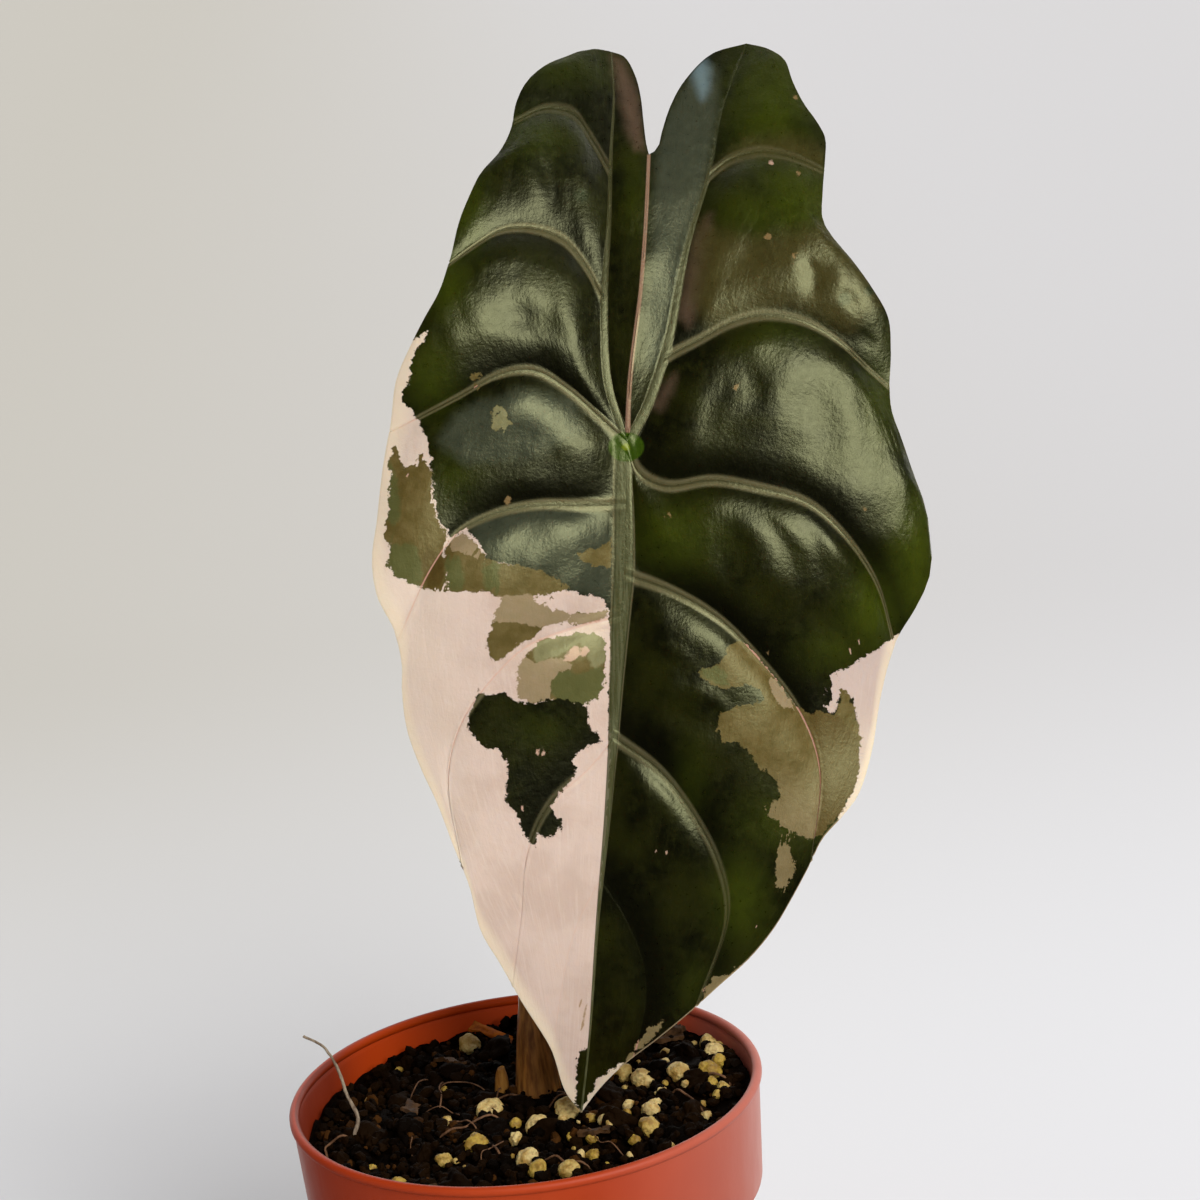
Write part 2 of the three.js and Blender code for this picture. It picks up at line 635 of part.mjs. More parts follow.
function makeBlade() {
  const midrib = curveThrough(MIDRIB);
  const leftMargin = curveThrough(LEFT_MARGIN);
  const rightMargin = curveThrough(RIGHT_MARGIN);
  const leftLobe = curveThrough(LEFT_LOBE_VEIN);
  const rightLobe = curveThrough(RIGHT_LOBE_VEIN);
  const seam = curveThrough(SEAM);
  const leftRibs = ribsOf(midrib, leftMargin, LEFT_BLADE_VEINS, 1);
  const rightRibs = ribsOf(midrib, rightMargin, RIGHT_BLADE_VEINS, 1);
  const leftLobeRibs = ribsOf(leftLobe, leftMargin, LEFT_LOBE_VEINS, 0);
  const rightLobeRibs = ribsOf(rightLobe, rightMargin, RIGHT_LOBE_VEINS, 0);
  const bladeStations = stationsOf(leftRibs, rightRibs);
  const lobeStations = [...stationsOf(leftLobeRibs, rightLobeRibs), NOTCH_START].sort((p, q) => p - q);
  const midribWidth = (way) => MIDRIB_HALF_WIDTH * (1 - way) ** MIDRIB_TAPER;
  const lobeVeinWidth = (way) => LOBE_VEIN_HALF_WIDTH * (1 - way);
  const face = makeFace();
  face.addRows(veinedRows(midrib, leftMargin, leftRibs, bladeStations, midribWidth, sleekLeft));
  face.addRows(veinedRows(midrib, rightMargin, rightRibs, bladeStations, midribWidth));
  face.addRows(veinedRows(leftLobe, leftMargin, leftLobeRibs, lobeStations, lobeVeinWidth));
  face.addRows(veinedRows(rightLobe, rightMargin, rightLobeRibs, lobeStations, lobeVeinWidth));
  face.addRows(lobeRows(leftLobe, seam, curveThrough(LEFT_NOTCH), lobeStations, lobeVeinWidth));
  face.addRows(lobeRows(rightLobe, seam, curveThrough(RIGHT_NOTCH), lobeStations, lobeVeinWidth));
  return thickened(face);
}

function named(name, geometry, colour, roughness) {
  const material = new THREE.MeshStandardMaterial({ color: colour, roughness, metalness: 0 });
  const mesh = new THREE.Mesh(geometry, material);
  mesh.name = name;
  return mesh;
}

const group = new THREE.Group();
group.add(named('pot', makePot(), '#b5431c', 0.45));
group.add(named('soil', makeSoil(), '#33241a', 0.95));
group.add(named('petiole', makeStalk(), '#6f4a2a', 0.5));
group.add(named('old_stalk_stub', makeStub(), '#a3743a', 0.7));
group.add(named('dry_root', makeDryRoot(), '#8f7a66', 0.85));
group.add(named('leaf_blade', makeBlade(), '#3f4a2c', 0.42));

export default group;
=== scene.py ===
import math

import bpy
import numpy as np
from mathutils import Matrix, Vector, noise


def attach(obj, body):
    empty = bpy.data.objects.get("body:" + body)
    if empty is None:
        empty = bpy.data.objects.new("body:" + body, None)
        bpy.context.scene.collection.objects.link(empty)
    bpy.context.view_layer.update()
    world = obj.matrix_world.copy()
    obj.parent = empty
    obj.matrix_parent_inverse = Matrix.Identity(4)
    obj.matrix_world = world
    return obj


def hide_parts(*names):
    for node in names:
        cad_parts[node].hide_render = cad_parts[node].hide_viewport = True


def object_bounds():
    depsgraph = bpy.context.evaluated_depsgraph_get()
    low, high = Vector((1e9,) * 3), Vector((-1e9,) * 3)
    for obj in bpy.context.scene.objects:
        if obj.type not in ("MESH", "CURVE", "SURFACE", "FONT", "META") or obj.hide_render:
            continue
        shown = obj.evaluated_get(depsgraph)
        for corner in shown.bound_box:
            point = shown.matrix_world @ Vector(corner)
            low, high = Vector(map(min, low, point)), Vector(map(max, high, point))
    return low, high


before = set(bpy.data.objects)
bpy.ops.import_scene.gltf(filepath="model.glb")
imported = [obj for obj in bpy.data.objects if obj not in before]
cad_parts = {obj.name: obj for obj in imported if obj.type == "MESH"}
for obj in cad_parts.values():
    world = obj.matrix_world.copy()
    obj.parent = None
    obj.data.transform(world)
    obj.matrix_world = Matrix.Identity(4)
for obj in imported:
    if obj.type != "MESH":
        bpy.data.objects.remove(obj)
cad_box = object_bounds()

# Lengths are in millimetres and are turned to metres where a mesh is placed
MM = 0.001

# Camera: where it stands in metres, the way it is turned in degrees, and its lens
CAMERA_PLACE = (0, -0.5973, 0.3415)
CAMERA_TURN = (74.163, 5.803, -3.925)
CAMERA_LENS = 102.08

# Pot
POT_HEIGHT = 80
RIM_RADIUS = 45
LIP_RADIUS = 0.95
BASE_RADIUS = 32
STEP_HEIGHT = 57
STEP_DEPTH = 1.8
BAND_FLARE = 1.3
WALL = 1.3
FLOOR = 1.6
DRAIN_COUNT = 8
DRAIN_RING_RADIUS = 21
DRAIN_RADIUS = 3

# Soil
SOIL_LEVEL = 74.3
SOIL_RISE_RIGHT = 0.045
SOIL_RISE_BACK = 0.03
SOIL_WAVES = ((0.35, 0.21, 0.19, 0.5), (0.35, 0.21, -0.19, 1.5), (0.4, 0.47, 0.33, 0))
SOIL_RADIUS = 42.6
GRIT_COUNT = 90
CRUMB_COUNT = 2300
CLOD_COUNT = 46
FIBRE_COUNT = 22
FIBRE_STEP = 2.6
FIBRE_REACH = 39

# Stalk, old stub and dry root, with the depth that each is set in the soil
ROOTED_DEPTH = 10
STALK_BASE = (2.5, 8)
STALK_PATH = [(3.7, 9.3, 93), (9.5, 14.5, 125), (19, 21, 157), (28, 25, 183), (31.8, 22.5, 194.5)]
STALK_BASE_RADIUS = 4.6
STALK_RADIUS = 2.9
STALK_TOP_RADIUS = 2
SWOLLEN_SHARE = 0.07
SWOLLEN_FADE = 0.09
STUB_BASE = (-4.6, 9.9)
STUB_RADIUS = 1.5
STUB_HEIGHT = 5.3
ROOT_BASE = (-33.2, -0.8)
ROOT_PATH = [(-32.2, 0.5, 76.7), (-33.8, 2.8, 80.8), (-35, 4.6, 85.5), (-37.2, 5.5, 90), (-40.8, 6.3, 92.4)]
ROOT_RADIUS = 0.45
ROOT_TAPER = 0.45

# Leaf: where the stalk meets it, the way it faces, and its thickness
LEAF_JOINT = np.array((32.4, 13.8, 198.3))
LEAF_RIGHT = np.array((0.9925, -0.0681, -0.1011))
LEAF_UP = np.array((0.1157, 0.2656, 0.9571))
LEAF_FRONT = np.array((-0.0384, -0.9617, 0.2715))
LEAF_THICKNESS = 0.55
EYE_DISTANCE = 628
EYE_AIM = (-5, -29)
SWELL = 3.1
SWELL_REACH = 3.8
REACH_ABOVE_VEIN = 7
REACH_BELOW_VEIN = 3
FULL_SWELL_WIDTH = 24
LEAST_EDGE_SWELL = 0.45
SEAM_SWELL = 0.85
MIDRIB_HALF_WIDTH = 2.4
MIDRIB_TAPER = 1.4
LOBE_VEIN_HALF_WIDTH = 1.1
SIDE_VEIN_HALF_WIDTH = 1.1
SLEEK_SWELL = 0.12
LEFT_SLEEK = (32, 58)
RIGHT_SLEEK = (58, 84)
LAST_BANDS = (72, 80)
BLADE_BAND = 1.45
LOBE_BAND = 1.5
BAND_TAPER = 0.55
NOTCH_START = 0.74
SINKS_FROM = -0.5
EDGE_SUNK_AT = 0.6
LEAST_VEIN = 0.12
NO_VEIN = 9.0
FAR_FROM_VEIN = 30.0
FAR_OUTSIDE = -9.0

# Form under the relief: the blade is bowed lengthwise, dishes from its midrib and rounds out again
BLADE_LEAN = 0.065
LOBES_LEAN = 0.11
LOBES_SPREAD = 1.3
FOLD_ROUNDING = 2
DISH_RISE = 0.26
DISH_FALL = 0.0062
BOW_PEAK = 4
BOW_FALL = 0.00165
BOW_CENTRE = 32
LOBES_FALL = 0.0052
LOBES_FALL_FROM = 8
WAVE_HEIGHT = 2.6
WAVE_RATE = 0.105
WAVE_FULL_AT = 40
WAVE_SHIFT_LEFT = 4.6
WAVE_SHIFT_RIGHT = 3.1

# Leaf outline, right and up from the joint
LEFT_MARGIN = [
    (-3, 72), (-7, 72.5), (-11.5, 71), (-15, 69.5), (-18.5, 66.5), (-20.5, 62.5), (-21.5, 57.5),
    (-23.5, 53.5), (-27, 49.5), (-29, 45.5), (-31, 40.5), (-32.5, 34.5), (-34.5, 28), (-37.5, 22.5),
    (-40, 17.5), (-42.5, 11.5), (-43.5, 4), (-45, -5), (-46, -14), (-47, -22), (-46, -28.5),
    (-43, -34.5), (-41.5, -41), (-41.5, -45.5), (-40.5, -53), (-38, -60), (-35, -66.5), (-32, -74.5),
    (-29, -82), (-27, -90), (-23.5, -96), (-19.5, -103), (-14, -112), (-11.5, -119.5), (-8.5, -123.5),
]
RIGHT_MARGIN = [
    (22, 73.5), (26, 72.5), (29, 70.5), (30.5, 66.5), (32.5, 62.5), (35, 59), (36.5, 56), (36.5, 52),
    (36, 46), (36, 41), (38, 37.5), (41, 34), (45, 28.5), (48, 23), (48.5, 17), (48.5, 6.5), (50.5, 0.5),
    (52.5, -5.5), (55, -12.5), (56, -19.5), (55.5, -25), (53, -30.5), (50, -35.5), (48, -41),
    (46.5, -47.5), (45, -57), (42.5, -65), (39.5, -69), (36, -73), (33.5, -78), (30, -84.5), (27, -89.5),
    (22.5, -95), (17, -100), (11.5, -105), (5.5, -110), (-1, -115), (-5, -119), (-8.5, -123.5),
]
MIDRIB = [(0, 0), (-0.5, -21.5), (-2, -43.5), (-3.5, -66), (-5.5, -88), (-7, -110), (-8.5, -123.5)]
LEFT_LOBE_VEIN = [(0, 0), (-3.6, 10), (-4.4, 24.5), (-3.5, 40), (-3, 54), (-2.5, 63.5), (-3, 72)]
RIGHT_LOBE_VEIN = [(0, 0), (4, 7), (7.5, 18), (11, 35.5), (15, 49), (17.5, 61.5), (22, 73.5)]
SEAM = [(0, 0), (0.5, 11.5), (2.5, 28), (3.5, 42), (4, 53)]
LEFT_NOTCH = [(4, 53), (3.5, 55), (3, 59), (2.5, 63.5), (1.5, 67.5), (-0.5, 71), (-3, 72)]
RIGHT_NOTCH = [(4, 53), (5.5, 54), (6.5, 57.5), (8, 62), (10.5, 66.5), (15.5, 71.5), (22, 73.5)]

# Side veins, each from its main vein to the margin
LEFT_FIRST_VEIN = [(0, 0), (-5, 4.6), (-11, 9.8), (-17, 13.2), (-23.5, 12.5), (-31, 8.5), (-43.5, 1.8)]
LEFT_BLADE_VEINS = [
    LEFT_FIRST_VEIN,
    [(-0.5, -11.5), (-8.5, -11.5), (-17, -11.5), (-24, -13), (-31, -16.5), (-36, -23), (-42, -36.5)],
    [(-1.5, -32), (-9.5, -34), (-18.5, -37.5), (-24.5, -43), (-30.5, -51.5), (-33, -61.5), (-30.5, -78)],
    [(-2.5, -55), (-7, -60), (-14.5, -67), (-18.5, -76), (-19.5, -87), (-21, -100)],
    [(-5, -80.5), (-8.5, -87), (-11, -94.5), (-12.5, -103), (-14, -112.5)],
]
LEFT_LOBE_VEINS = [
    LEFT_FIRST_VEIN,
    [(-4.4, 26.5), (-8, 33), (-12, 37.5), (-18, 39.5), (-23.5, 39), (-28.5, 36), (-32.5, 32.5)],
    [(-3.5, 50), (-7, 56.5), (-10, 60.5), (-15, 61.5), (-21, 59)],
]
RIGHT_FIRST_VEIN = [
    (0, 0), (2, -5.5), (7, -8), (15.5, -7), (24.5, -8.5), (33, -11), (40, -17), (46, -26), (49, -37.5),
]
RIGHT_BLADE_VEINS = [
    RIGHT_FIRST_VEIN,
    [(-1, -24), (7.5, -27), (17, -32.5), (24.5, -40), (32, -50), (35.5, -60.5), (34, -77)],
    [(-2, -54), (6, -60.5), (12.5, -69), (17, -78), (18.5, -87), (13, -103.5)],
    [(-5, -80.5), (-0.5, -87), (3, -95.5), (3.5, -103), (1.5, -113.5)],
]
RIGHT_LOBE_VEINS = [
    RIGHT_FIRST_VEIN,
    [(7, 15.5), (13.5, 19), (19, 22), (25, 23.5), (32, 22.5), (38.5, 19), (45, 13), (48.5, 10)],
    [(15, 49), (19, 52), (24.5, 53.5), (30.5, 52.5), (36.5, 50)],
]

# Colour patches of the blade, each kind with its outlines; they may run out past the margin
PATCHES = {
    "pink": [
        [
            (-36.5, 20.5), (-39.5, 16), (-40, 12), (-41.5, 8.5), (-38.5, 4), (-36.5, 0), (-36, -7),
            (-35, -14), (-32.5, -17.5), (-29.5, -16), (-27, -19), (-25.5, -22), (-21, -22.5), (-15, -24.5),
            (-10.5, -27.5), (-5, -28.5), (-3.5, -31), (-3, -36.5), (-3.5, -47.5), (-3, -58.5),
            (-1, -66), (1, -84.5), (-2, -104), (-6.5, -110.5), (-8, -111.5), (-9.3, -112.8),
            (-9.2, -116), (-9.6, -118.8), (-9.8, -125), (-16, -125), (-36.5, -99), (-51, -58.5),
            (-55, -21.5), (-47.5, 4), (-42, 17),
        ],
        [
            (57, -34.5), (50.5, -35), (46.5, -37.5), (41.5, -41), (38, -42.5), (36.5, -44.5), (38.5, -46),
            (36, -48.5), (38, -50.5), (39.5, -46.5), (41.3, -46.5), (42.2, -52), (42.4, -59.5),
            (40.6, -65), (38.3, -70), (45, -66), (50.5, -47.5),
        ],
        [
            (1, -116.3), (-0.6, -114.1), (-2, -114.8), (-4.8, -117), (-7.4, -120.8), (-8.2, -123.5),
            (-5, -122),
        ],
    ],
    "khaki": [
        [
            (-42.5, 0), (-44, -3.5), (-43.5, -7), (-44, -12.5), (-43.5, -14), (-45, -16.5), (-43.5, -19),
            (-44.5, -22.5), (-42, -25), (-37.5, -27), (-34, -27.5), (-33, -24), (-34, -19.5), (-33, -17.5),
            (-35, -14.5), (-36, -10.5), (-36, -5), (-38, -2), (-39, -4.5), (-41.5, -4.5),
        ],
        [
            (-33.4, -20.8), (-32.8, -18), (-31.2, -16.9), (-29.4, -16.9), (-28.1, -18.6), (-26.4, -20.8),
            (-23.7, -22.4), (-21, -22.5), (-15, -23.8), (-10.5, -27), (-12.7, -27.9), (-17, -28),
            (-23.5, -28.5), (-26.4, -27.2), (-28.6, -27.6), (-33.4, -27.2),
        ],
        [
            (-23, -28.5), (-18, -27.5), (-17, -29), (-14, -30.5), (-9.5, -31.5), (-4, -31), (-4, -32.5),
            (-8.5, -33.5), (-12.5, -33), (-16, -34), (-17, -36), (-19.5, -36.5), (-22.5, -39.5),
            (-24.5, -40.5), (-26, -38.5), (-25.5, -35.5), (-24.5, -31.5),
        ],
        [
            (-17.1, -36.8), (-14.9, -36.2), (-12.3, -35.8), (-9.7, -35.2), (-6.6, -35.2), (-4.4, -35.8),
            (-4, -38), (-4.2, -44.1), (-5.3, -46.7), (-7, -48.1), (-8.8, -48.6), (-11.4, -48.2),
            (-14.5, -47.4), (-17.6, -48.3), (-20.2, -46.7), (-20.7, -44.6), (-19.8, -42.4), (-20.2, -40.6),
            (-18.9, -39.3), (-17.2, -38.2),
        ],
        [
            (22.5, -37.5), (21, -36.5), (18.5, -37.5), (17, -41), (13, -42), (13.5, -43.5), (18, -45.5),
            (22.5, -44.5), (26, -46.5), (24.5, -48), (20, -48.5), (17, -50), (16.5, -55), (21.5, -55.5),
            (23.5, -59), (27.5, -62), (29, -66), (25, -67), (26, -69), (33, -73), (36, -72), (40, -67.5),
            (42.5, -62), (43, -55), (41.5, -47.5), (39.5, -45), (38.5, -50), (32, -49.5), (29.5, -47),
            (27.5, -43.5), (24.5, -40),
        ],
        [
            (28, -73.5), (30, -73.5), (30, -76), (31, -77), (30.5, -79.5), (29, -83), (27.5, -82),
            (27.5, -76.5),
        ],
        [(14, -101), (16, -98.5), (18.5, -98), (21, -96), (22, -97.5), (18, -101), (14, -103.5)],
        [
            (6.6, -107.9), (6.8, -106.6), (5.4, -107.2), (3.5, -108.5), (2.3, -110), (1.4, -111.4),
            (0, -113.3), (-1.6, -115.7), (-1, -115.9), (0.6, -113.9), (1.8, -112), (3.2, -111),
            (4.7, -109.6),
        ],
        [(-10, -21), (-3, -18), (-3, -23), (-7, -22.5)],
        [(-28.6, 12.8), (-27.3, 13.2), (-26.9, 10.2), (-28, 9.4)],
        [(-25, 7), (-22.5, 6.5), (-21.5, 3.5), (-22.5, 1.5), (-25, 3)],
    ],
    "island": [
        [
            (-27.5, -45.5), (-25.5, -46.5), (-23, -46), (-21, -47.5), (-17.5, -48), (-12.5, -47),
            (-7.5, -48.5), (-7, -52.5), (-4.5, -55), (-8.5, -56.5), (-10.5, -58), (-9.5, -60), (-10, -62),
            (-12.5, -64.5), (-14.5, -67.5), (-12.5, -69.5), (-12, -71.5), (-15, -73), (-16.5, -72),
            (-17, -74.5), (-19, -72.5), (-20.5, -68.5), (-23, -66), (-22, -63.5), (-22, -58.5),
            (-24, -56.5), (-27, -56), (-29.5, -52.5), (-28.5, -49),
        ],
    ],
    # Painted sheen: a lighter olive tone where the right lobe would catch the window's light.
    "painted_sheen": [
        [(13, 40), (24, 37.5), (36, 40), (42, 34), (47, 26), (41, 20.5), (30, 25.5), (16, 20.5), (12, 26)],
        [(17, 50.5), (22, 55.5), (30, 56.5), (37, 53.5), (36.5, 50), (30.5, 52.5), (24.5, 53.5), (19, 52)],
    ],
    # Painted reflection: a small pale blue patch on the right lobe's notch edge.
    "painted_reflection": [
        [(11.6, 68.6), (13.6, 71.5), (15.2, 69), (15, 65), (13.8, 63), (12.8, 65.4)],
    ],
    "grey": [
        [
            (5.5, 54), (7.5, 60), (10.5, 65.5), (14, 69), (16.5, 69), (16.8, 62), (14.5, 49), (10.5, 35.5),
            (8, 22), (5.5, 14), (3, 14), (4, 28), (5, 42),
        ],
        [
            (-29, -14), (-23.5, -13), (-16, -12), (-5, -12), (-2.5, -18), (-3, -29), (-10.5, -27.5),
            (-15, -24.5), (-21, -22.5), (-25.5, -22), (-29, -18.5),
        ],
        [(-27, 7.5), (-23.5, 8), (-20, 10), (-10, 8), (-8, 2), (-18, -3), (-30, -4), (-35, 0), (-32, 5)],
    ],
    "pale": [
        [
            (-25.5, -28.5), (-18, -27.8), (-14, -30.3), (-9, -31.6), (-4, -31), (-4, -32.5), (-9, -33.4),
            (-12.5, -33), (-16, -34), (-21, -33), (-25, -33),
        ],
        [
            (-20.4, -40.6), (-18.9, -39.3), (-17, -40.6), (-14.5, -39.9), (-12, -39.6), (-9.5, -41.8),
            (-13.6, -42.3), (-14.4, -45.9), (-13, -47.6), (-17.6, -48.6), (-20.7, -47), (-21, -44.6),
        ],
        [(25.5, -43.5), (27.8, -43.5), (31, -49.5), (28, -49)],
        [
            (-33, -17.8), (-31.2, -16.9), (-29.4, -16.9), (-28.1, -18.6), (-25.5, -22.6), (-29.9, -20.6),
            (-32.3, -20),
        ],
    ],
    "moss": [
        [
            (-13.6, -42.4), (-11.4, -41.9), (-8.8, -42.4), (-6.2, -41.5), (-4, -41.5), (-4.2, -44.1),
            (-5.3, -46.7), (-7, -48.4), (-9.7, -48.8), (-12.3, -47.9), (-14.5, -45.9), (-14.1, -43.2),
        ],
        [(-33.4, -20.8), (-31, -21.3), (-30, -24), (-30, -27.4), (-33.4, -27)],
        [(-26.4, -21.5), (-23.6, -22.4), (-23.6, -28), (-26, -27.2), (-26.8, -24)],
        [(13, -42), (17.5, -41), (19, -45), (14, -43.5)],
        [(-45, -19), (-39, -18.5), (-37.5, -24), (-38, -27), (-44, -26)],
        [(-44, -3), (-42.5, -6), (-41.5, -13), (-43, -16), (-44.5, -13)],
    ],
    "brown": [
        [
            (33, -50), (36, -47), (38.5, -50), (43, -55), (43.5, -62), (38, -71), (34.5, -73), (36, -66),
            (35.5, -58),
        ],
        [(-37, -19), (-34, -21), (-33.5, -26), (-36.5, -27), (-38, -23)],
    ],
    "sage": [
        [
            (-17.1, -41), (-17.1, -38), (-17.1, -36.8), (-12.3, -35.8), (-8.8, -35.1), (-6.2, -35.1),
            (-4, -35.8), (-4.2, -40.6), (-6.2, -41.5), (-7.5, -40.6), (-7, -38.8), (-8.8, -36.9),
            (-10.5, -38), (-12.3, -39.3), (-14.5, -39.7), (-16.2, -41.2),
        ],
        [(-25, 7), (-22.5, 6.5), (-21.5, 3.5), (-22.5, 1.5), (-25, 3)],
    ],
    "rosy": [
        [
            (-2.8, 71), (-0.6, 70), (1.7, 65), (2.7, 59), (3, 54), (1.6, 54), (0.2, 57), (-0.8, 61),
            (-1.7, 65), (-2.5, 69),
        ],
        [(15.5, 42), (15.5, 34), (14, 27), (11.5, 21.5), (9.5, 23.5), (11, 31), (12.5, 38.5)],
        [(9, 12.5), (8.5, 10), (6.5, 6), (5, 6.5), (7, 10.5)],
    ],
}

# Painted light: light green where backlight would shine through the thin tissue. Each is right and up, reach
# along each, and strength
PAINTED_BACKLIGHT_GLOWS = [
    (27, 61, 8, 13, 0.75), (31, 45, 7, 9, 0.85), (24, 42, 8, 6, 0.6), (-12, 69, 9, 4.5, 0.35),
    (-17, 57, 7, 5, 0.45), (-29, 42, 3.5, 10, 0.6), (-33, 30, 4, 8, 0.7), (-36, 12, 5, 7, 0.7),
    (1.5, 46, 2.5, 9, 0.35), (45, -31, 5, 7, 1.0), (53, -21, 4.5, 12, 0.95), (47, 8, 5, 10, 0.5),
    (9, -17, 8, 6, 0.75), (-32, -6, 4, 6, 0.45), (28, -70, 8, 5, 0.5), (36, -72, 5, 4, 0.4),
    (21, -84, 5, 8, 0.8), (13, -100, 4, 5, 0.25), (28, 20, 8, 3.5, 0.35), (12, -62, 3, 7, 0.35),
    (38, -38, 6, 4, 0.5), (-16, -53, 5, 3, 0.3),
]

# Soft creases pressed into the blade: both ends right and up, width, and depth below or height above zero
CREASES = [
    (-16.8, 52.5, -13.5, 41.5, 1.3, -0.55), (-19.5, 52.5, -18.2, 42, 2.2, 0.4),
    (-25.5, 50, -26.8, 42, 1.6, -0.25),
    (33.2, 34, 33.8, 26, 1.3, -0.5), (30.5, 35, 30, 26, 2.4, 0.3), (38, 19, 46, 17.5, 1.7, -0.6),
    (39, 28, 42, 24.5, 1.5, -0.4), (23.5, -12.5, 31, -26.5, 1.3, -0.45), (20.5, -13, 24.5, -27, 2.2, 0.35),
    (30, -13, 36.5, -25, 1.4, -0.3), (35, -15, 41.5, -27, 2, 0.25), (20.5, 14, 25, 5, 1.2, -0.3),
    (-28.5, 33, -8, 29, 2, 0.3), (-27, 22, -10, 18.5, 2.2, -0.35), (-6.5, 30, -8, 17, 1.8, -0.35),
    (-30, 2, -13, -1.5, 1.8, -0.35), (-26, 6, -12, 4.5, 2.2, 0.25), (8, -46, 19, -49.5, 1.2, 0.35),
    (3, -50, 15, -52.5, 1.4, -0.25), (4, -38, 12, -40.5, 1.4, 0.25), (5, -82, 13, -84, 1.4, 0.25),
    (-2, -74, 8, -78, 1.2, -0.2), (26, 66, 28, 56, 2.4, -0.35), (20, 66, 17.5, 55, 2, -0.4),
]

# Single spots: right and up from the joint, and radius
PINK_SPOTS = [
    (-16, -57, 0.9), (-19.5, -67.5, 0.5), (42.5, -36.5, 0.6), (41, -38.5, 0.5), (5, -75.5, 0.6),
    (7, -75.5, 0.6), (24, -89, 0.4), (26.5, 51.5, 0.55), (-9.7, -38.8, 1.2), (-7.9, -38.4, 0.9),
    (-11.2, -39.6, 0.9), (-40.5, -6, 0.5), (-26, -53, 0.4), (-24.5, -54.5, 0.4),
]
TAN_SPOTS = [
    (26, 38, 0.7), (31, 34.5, 0.6), (21, 13, 0.8), (20, 10, 0.6), (31.5, 49.5, 0.5), (31, 63.5, 0.5),
    (43.5, -12, 0.8), (-22, -10.5, 0.8), (15.5, -9.5, 0.5), (19, -10.5, 0.4), (7.5, -13.5, 0.6),
    (25.5, -38.5, 0.7), (-8.3, -103.5, 0.9), (-8, -107.8, 0.8),
]
DARK_SPOTS = [(-8.5, 45.5, 1.3), (40, 26.5, 1.3), (44.5, 28, 0.9)]


# Small tools


def deselect():
    bpy.ops.object.select_all(action="DESELECT")


def choose(*pieces):
    """Selects the pieces, the last of them active."""
    deselect()
    for piece in pieces:
        piece.select_set(True)
    bpy.context.view_layer.objects.active = pieces[-1]


def named(name):
    """Names the active object and its mesh."""
    piece = bpy.context.object
    piece.name = name
    piece.data.name = name
    return piece


def in_edit(piece, *steps):
    """Runs each step on the whole mesh in edit mode."""
    choose(piece)
    bpy.ops.object.mode_set(mode="EDIT")
    bpy.ops.mesh.select_all(action="SELECT")
    for step in steps:
        step()
    bpy.ops.object.mode_set(mode="OBJECT")


def merge_doubles():
    bpy.ops.mesh.remove_doubles(threshold=1e-7)


def face_outward():
    bpy.ops.mesh.normals_make_consistent(inside=False)


def joined(name, pieces):
    """The pieces as one object."""
    choose(*pieces)
    if len(pieces) > 1:
        bpy.ops.object.join()
    return named(name)


def settled(piece):
    """Puts the object's place and size into its mesh."""
    choose(piece)
    bpy.ops.object.transform_apply(location=True, rotation=True, scale=True)
    return piece


def apply_modifier(piece, kind, **settings):
    choose(piece)
    modifier = piece.modifiers.new(kind.title(), kind)
    for key, value in settings.items():
        setattr(modifier, key, value)
    bpy.ops.object.modifier_apply(modifier=modifier.name)


def places_of(piece):
    """The vertices of the piece, a row each."""
    places = np.empty(len(piece.data.vertices) * 3)
    piece.data.vertices.foreach_get("co", places)
    return places.reshape(-1, 3)


def put_places(piece, places):
    piece.data.vertices.foreach_set("co", np.asarray(places, float).ravel())
    piece.data.update()


def give_values(piece, name, values):
    """Stores a number or a vector on each vertex for the finish to read."""
    values = np.asarray(values, np.float32)
    kind = "FLOAT_VECTOR" if values.ndim == 2 else "FLOAT"
    attribute = piece.data.attributes.new(name, kind, "POINT")
    attribute.data.foreach_set("vector" if values.ndim == 2 else "value", values.ravel())


def finish_with(piece, *materials):
    piece.data.materials.clear()
    for material in materials:
        piece.data.materials.append(material)


def roughen(piece, *layers):
    """Shifts the surface by noise. A layer is its rates along x, y and z, and its height."""
    places = places_of(piece)
    for place in places:
        where = Vector(place) / MM
        for rates, height in layers:
            shift = noise.noise_vector(Vector([rate * part for rate, part in zip(rates, where)]))
            place += np.array(shift) * height * MM
    put_places(piece, places)


def smooth(piece, degrees=60):
    """Shades the piece smooth, but for edges sharper than this."""
    choose(piece)
    bpy.ops.object.shade_smooth_by_angle(angle=math.radians(degrees))


def hand_over(piece, slot, *nodes):
    """The piece stands for the nodes, which it hides, and rides on the one body. The slot is not used."""
    if nodes:
        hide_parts(*nodes)
    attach(piece, "root")


# Curves


def smooth_curve(points, steps=40):
    """Places along the curve through the points, and the share of the way at each."""
    given = [np.array(point, float) for point in points]
    given = [2 * given[0] - given[1], *given, 2 * given[-1] - given[-2]]
    ways = np.linspace(0, 1, steps, endpoint=False)[:, None]
    pieces = []
    for p0, p1, p2, p3 in zip(given, given[1:], given[2:], given[3:]):
        d0, d1, d2 = (max(np.linalg.norm(q - p), 1e-6) ** 0.5 for p, q in ((p0, p1), (p1, p2), (p2, p3)))
        leave = ((p1 - p0) / d0 - (p2 - p0) / (d0 + d1) + (p2 - p1) / d1) * d1
        arrive = ((p2 - p1) / d1 - (p3 - p1) / (d1 + d2) + (p3 - p2) / d2) * d1
        square = -3 * p1 + 3 * p2 - 2 * leave - arrive
        cube = 2 * p1 - 2 * p2 + leave + arrive
        pieces.append(p1 + leave * ways + square * ways**2 + cube * ways**3)
    places = np.vstack([*pieces, given[-2][None]])
    lengths = np.concatenate([[0], np.cumsum(np.linalg.norm(np.diff(places, axis=0), axis=1))])
    return places, lengths / lengths[-1]


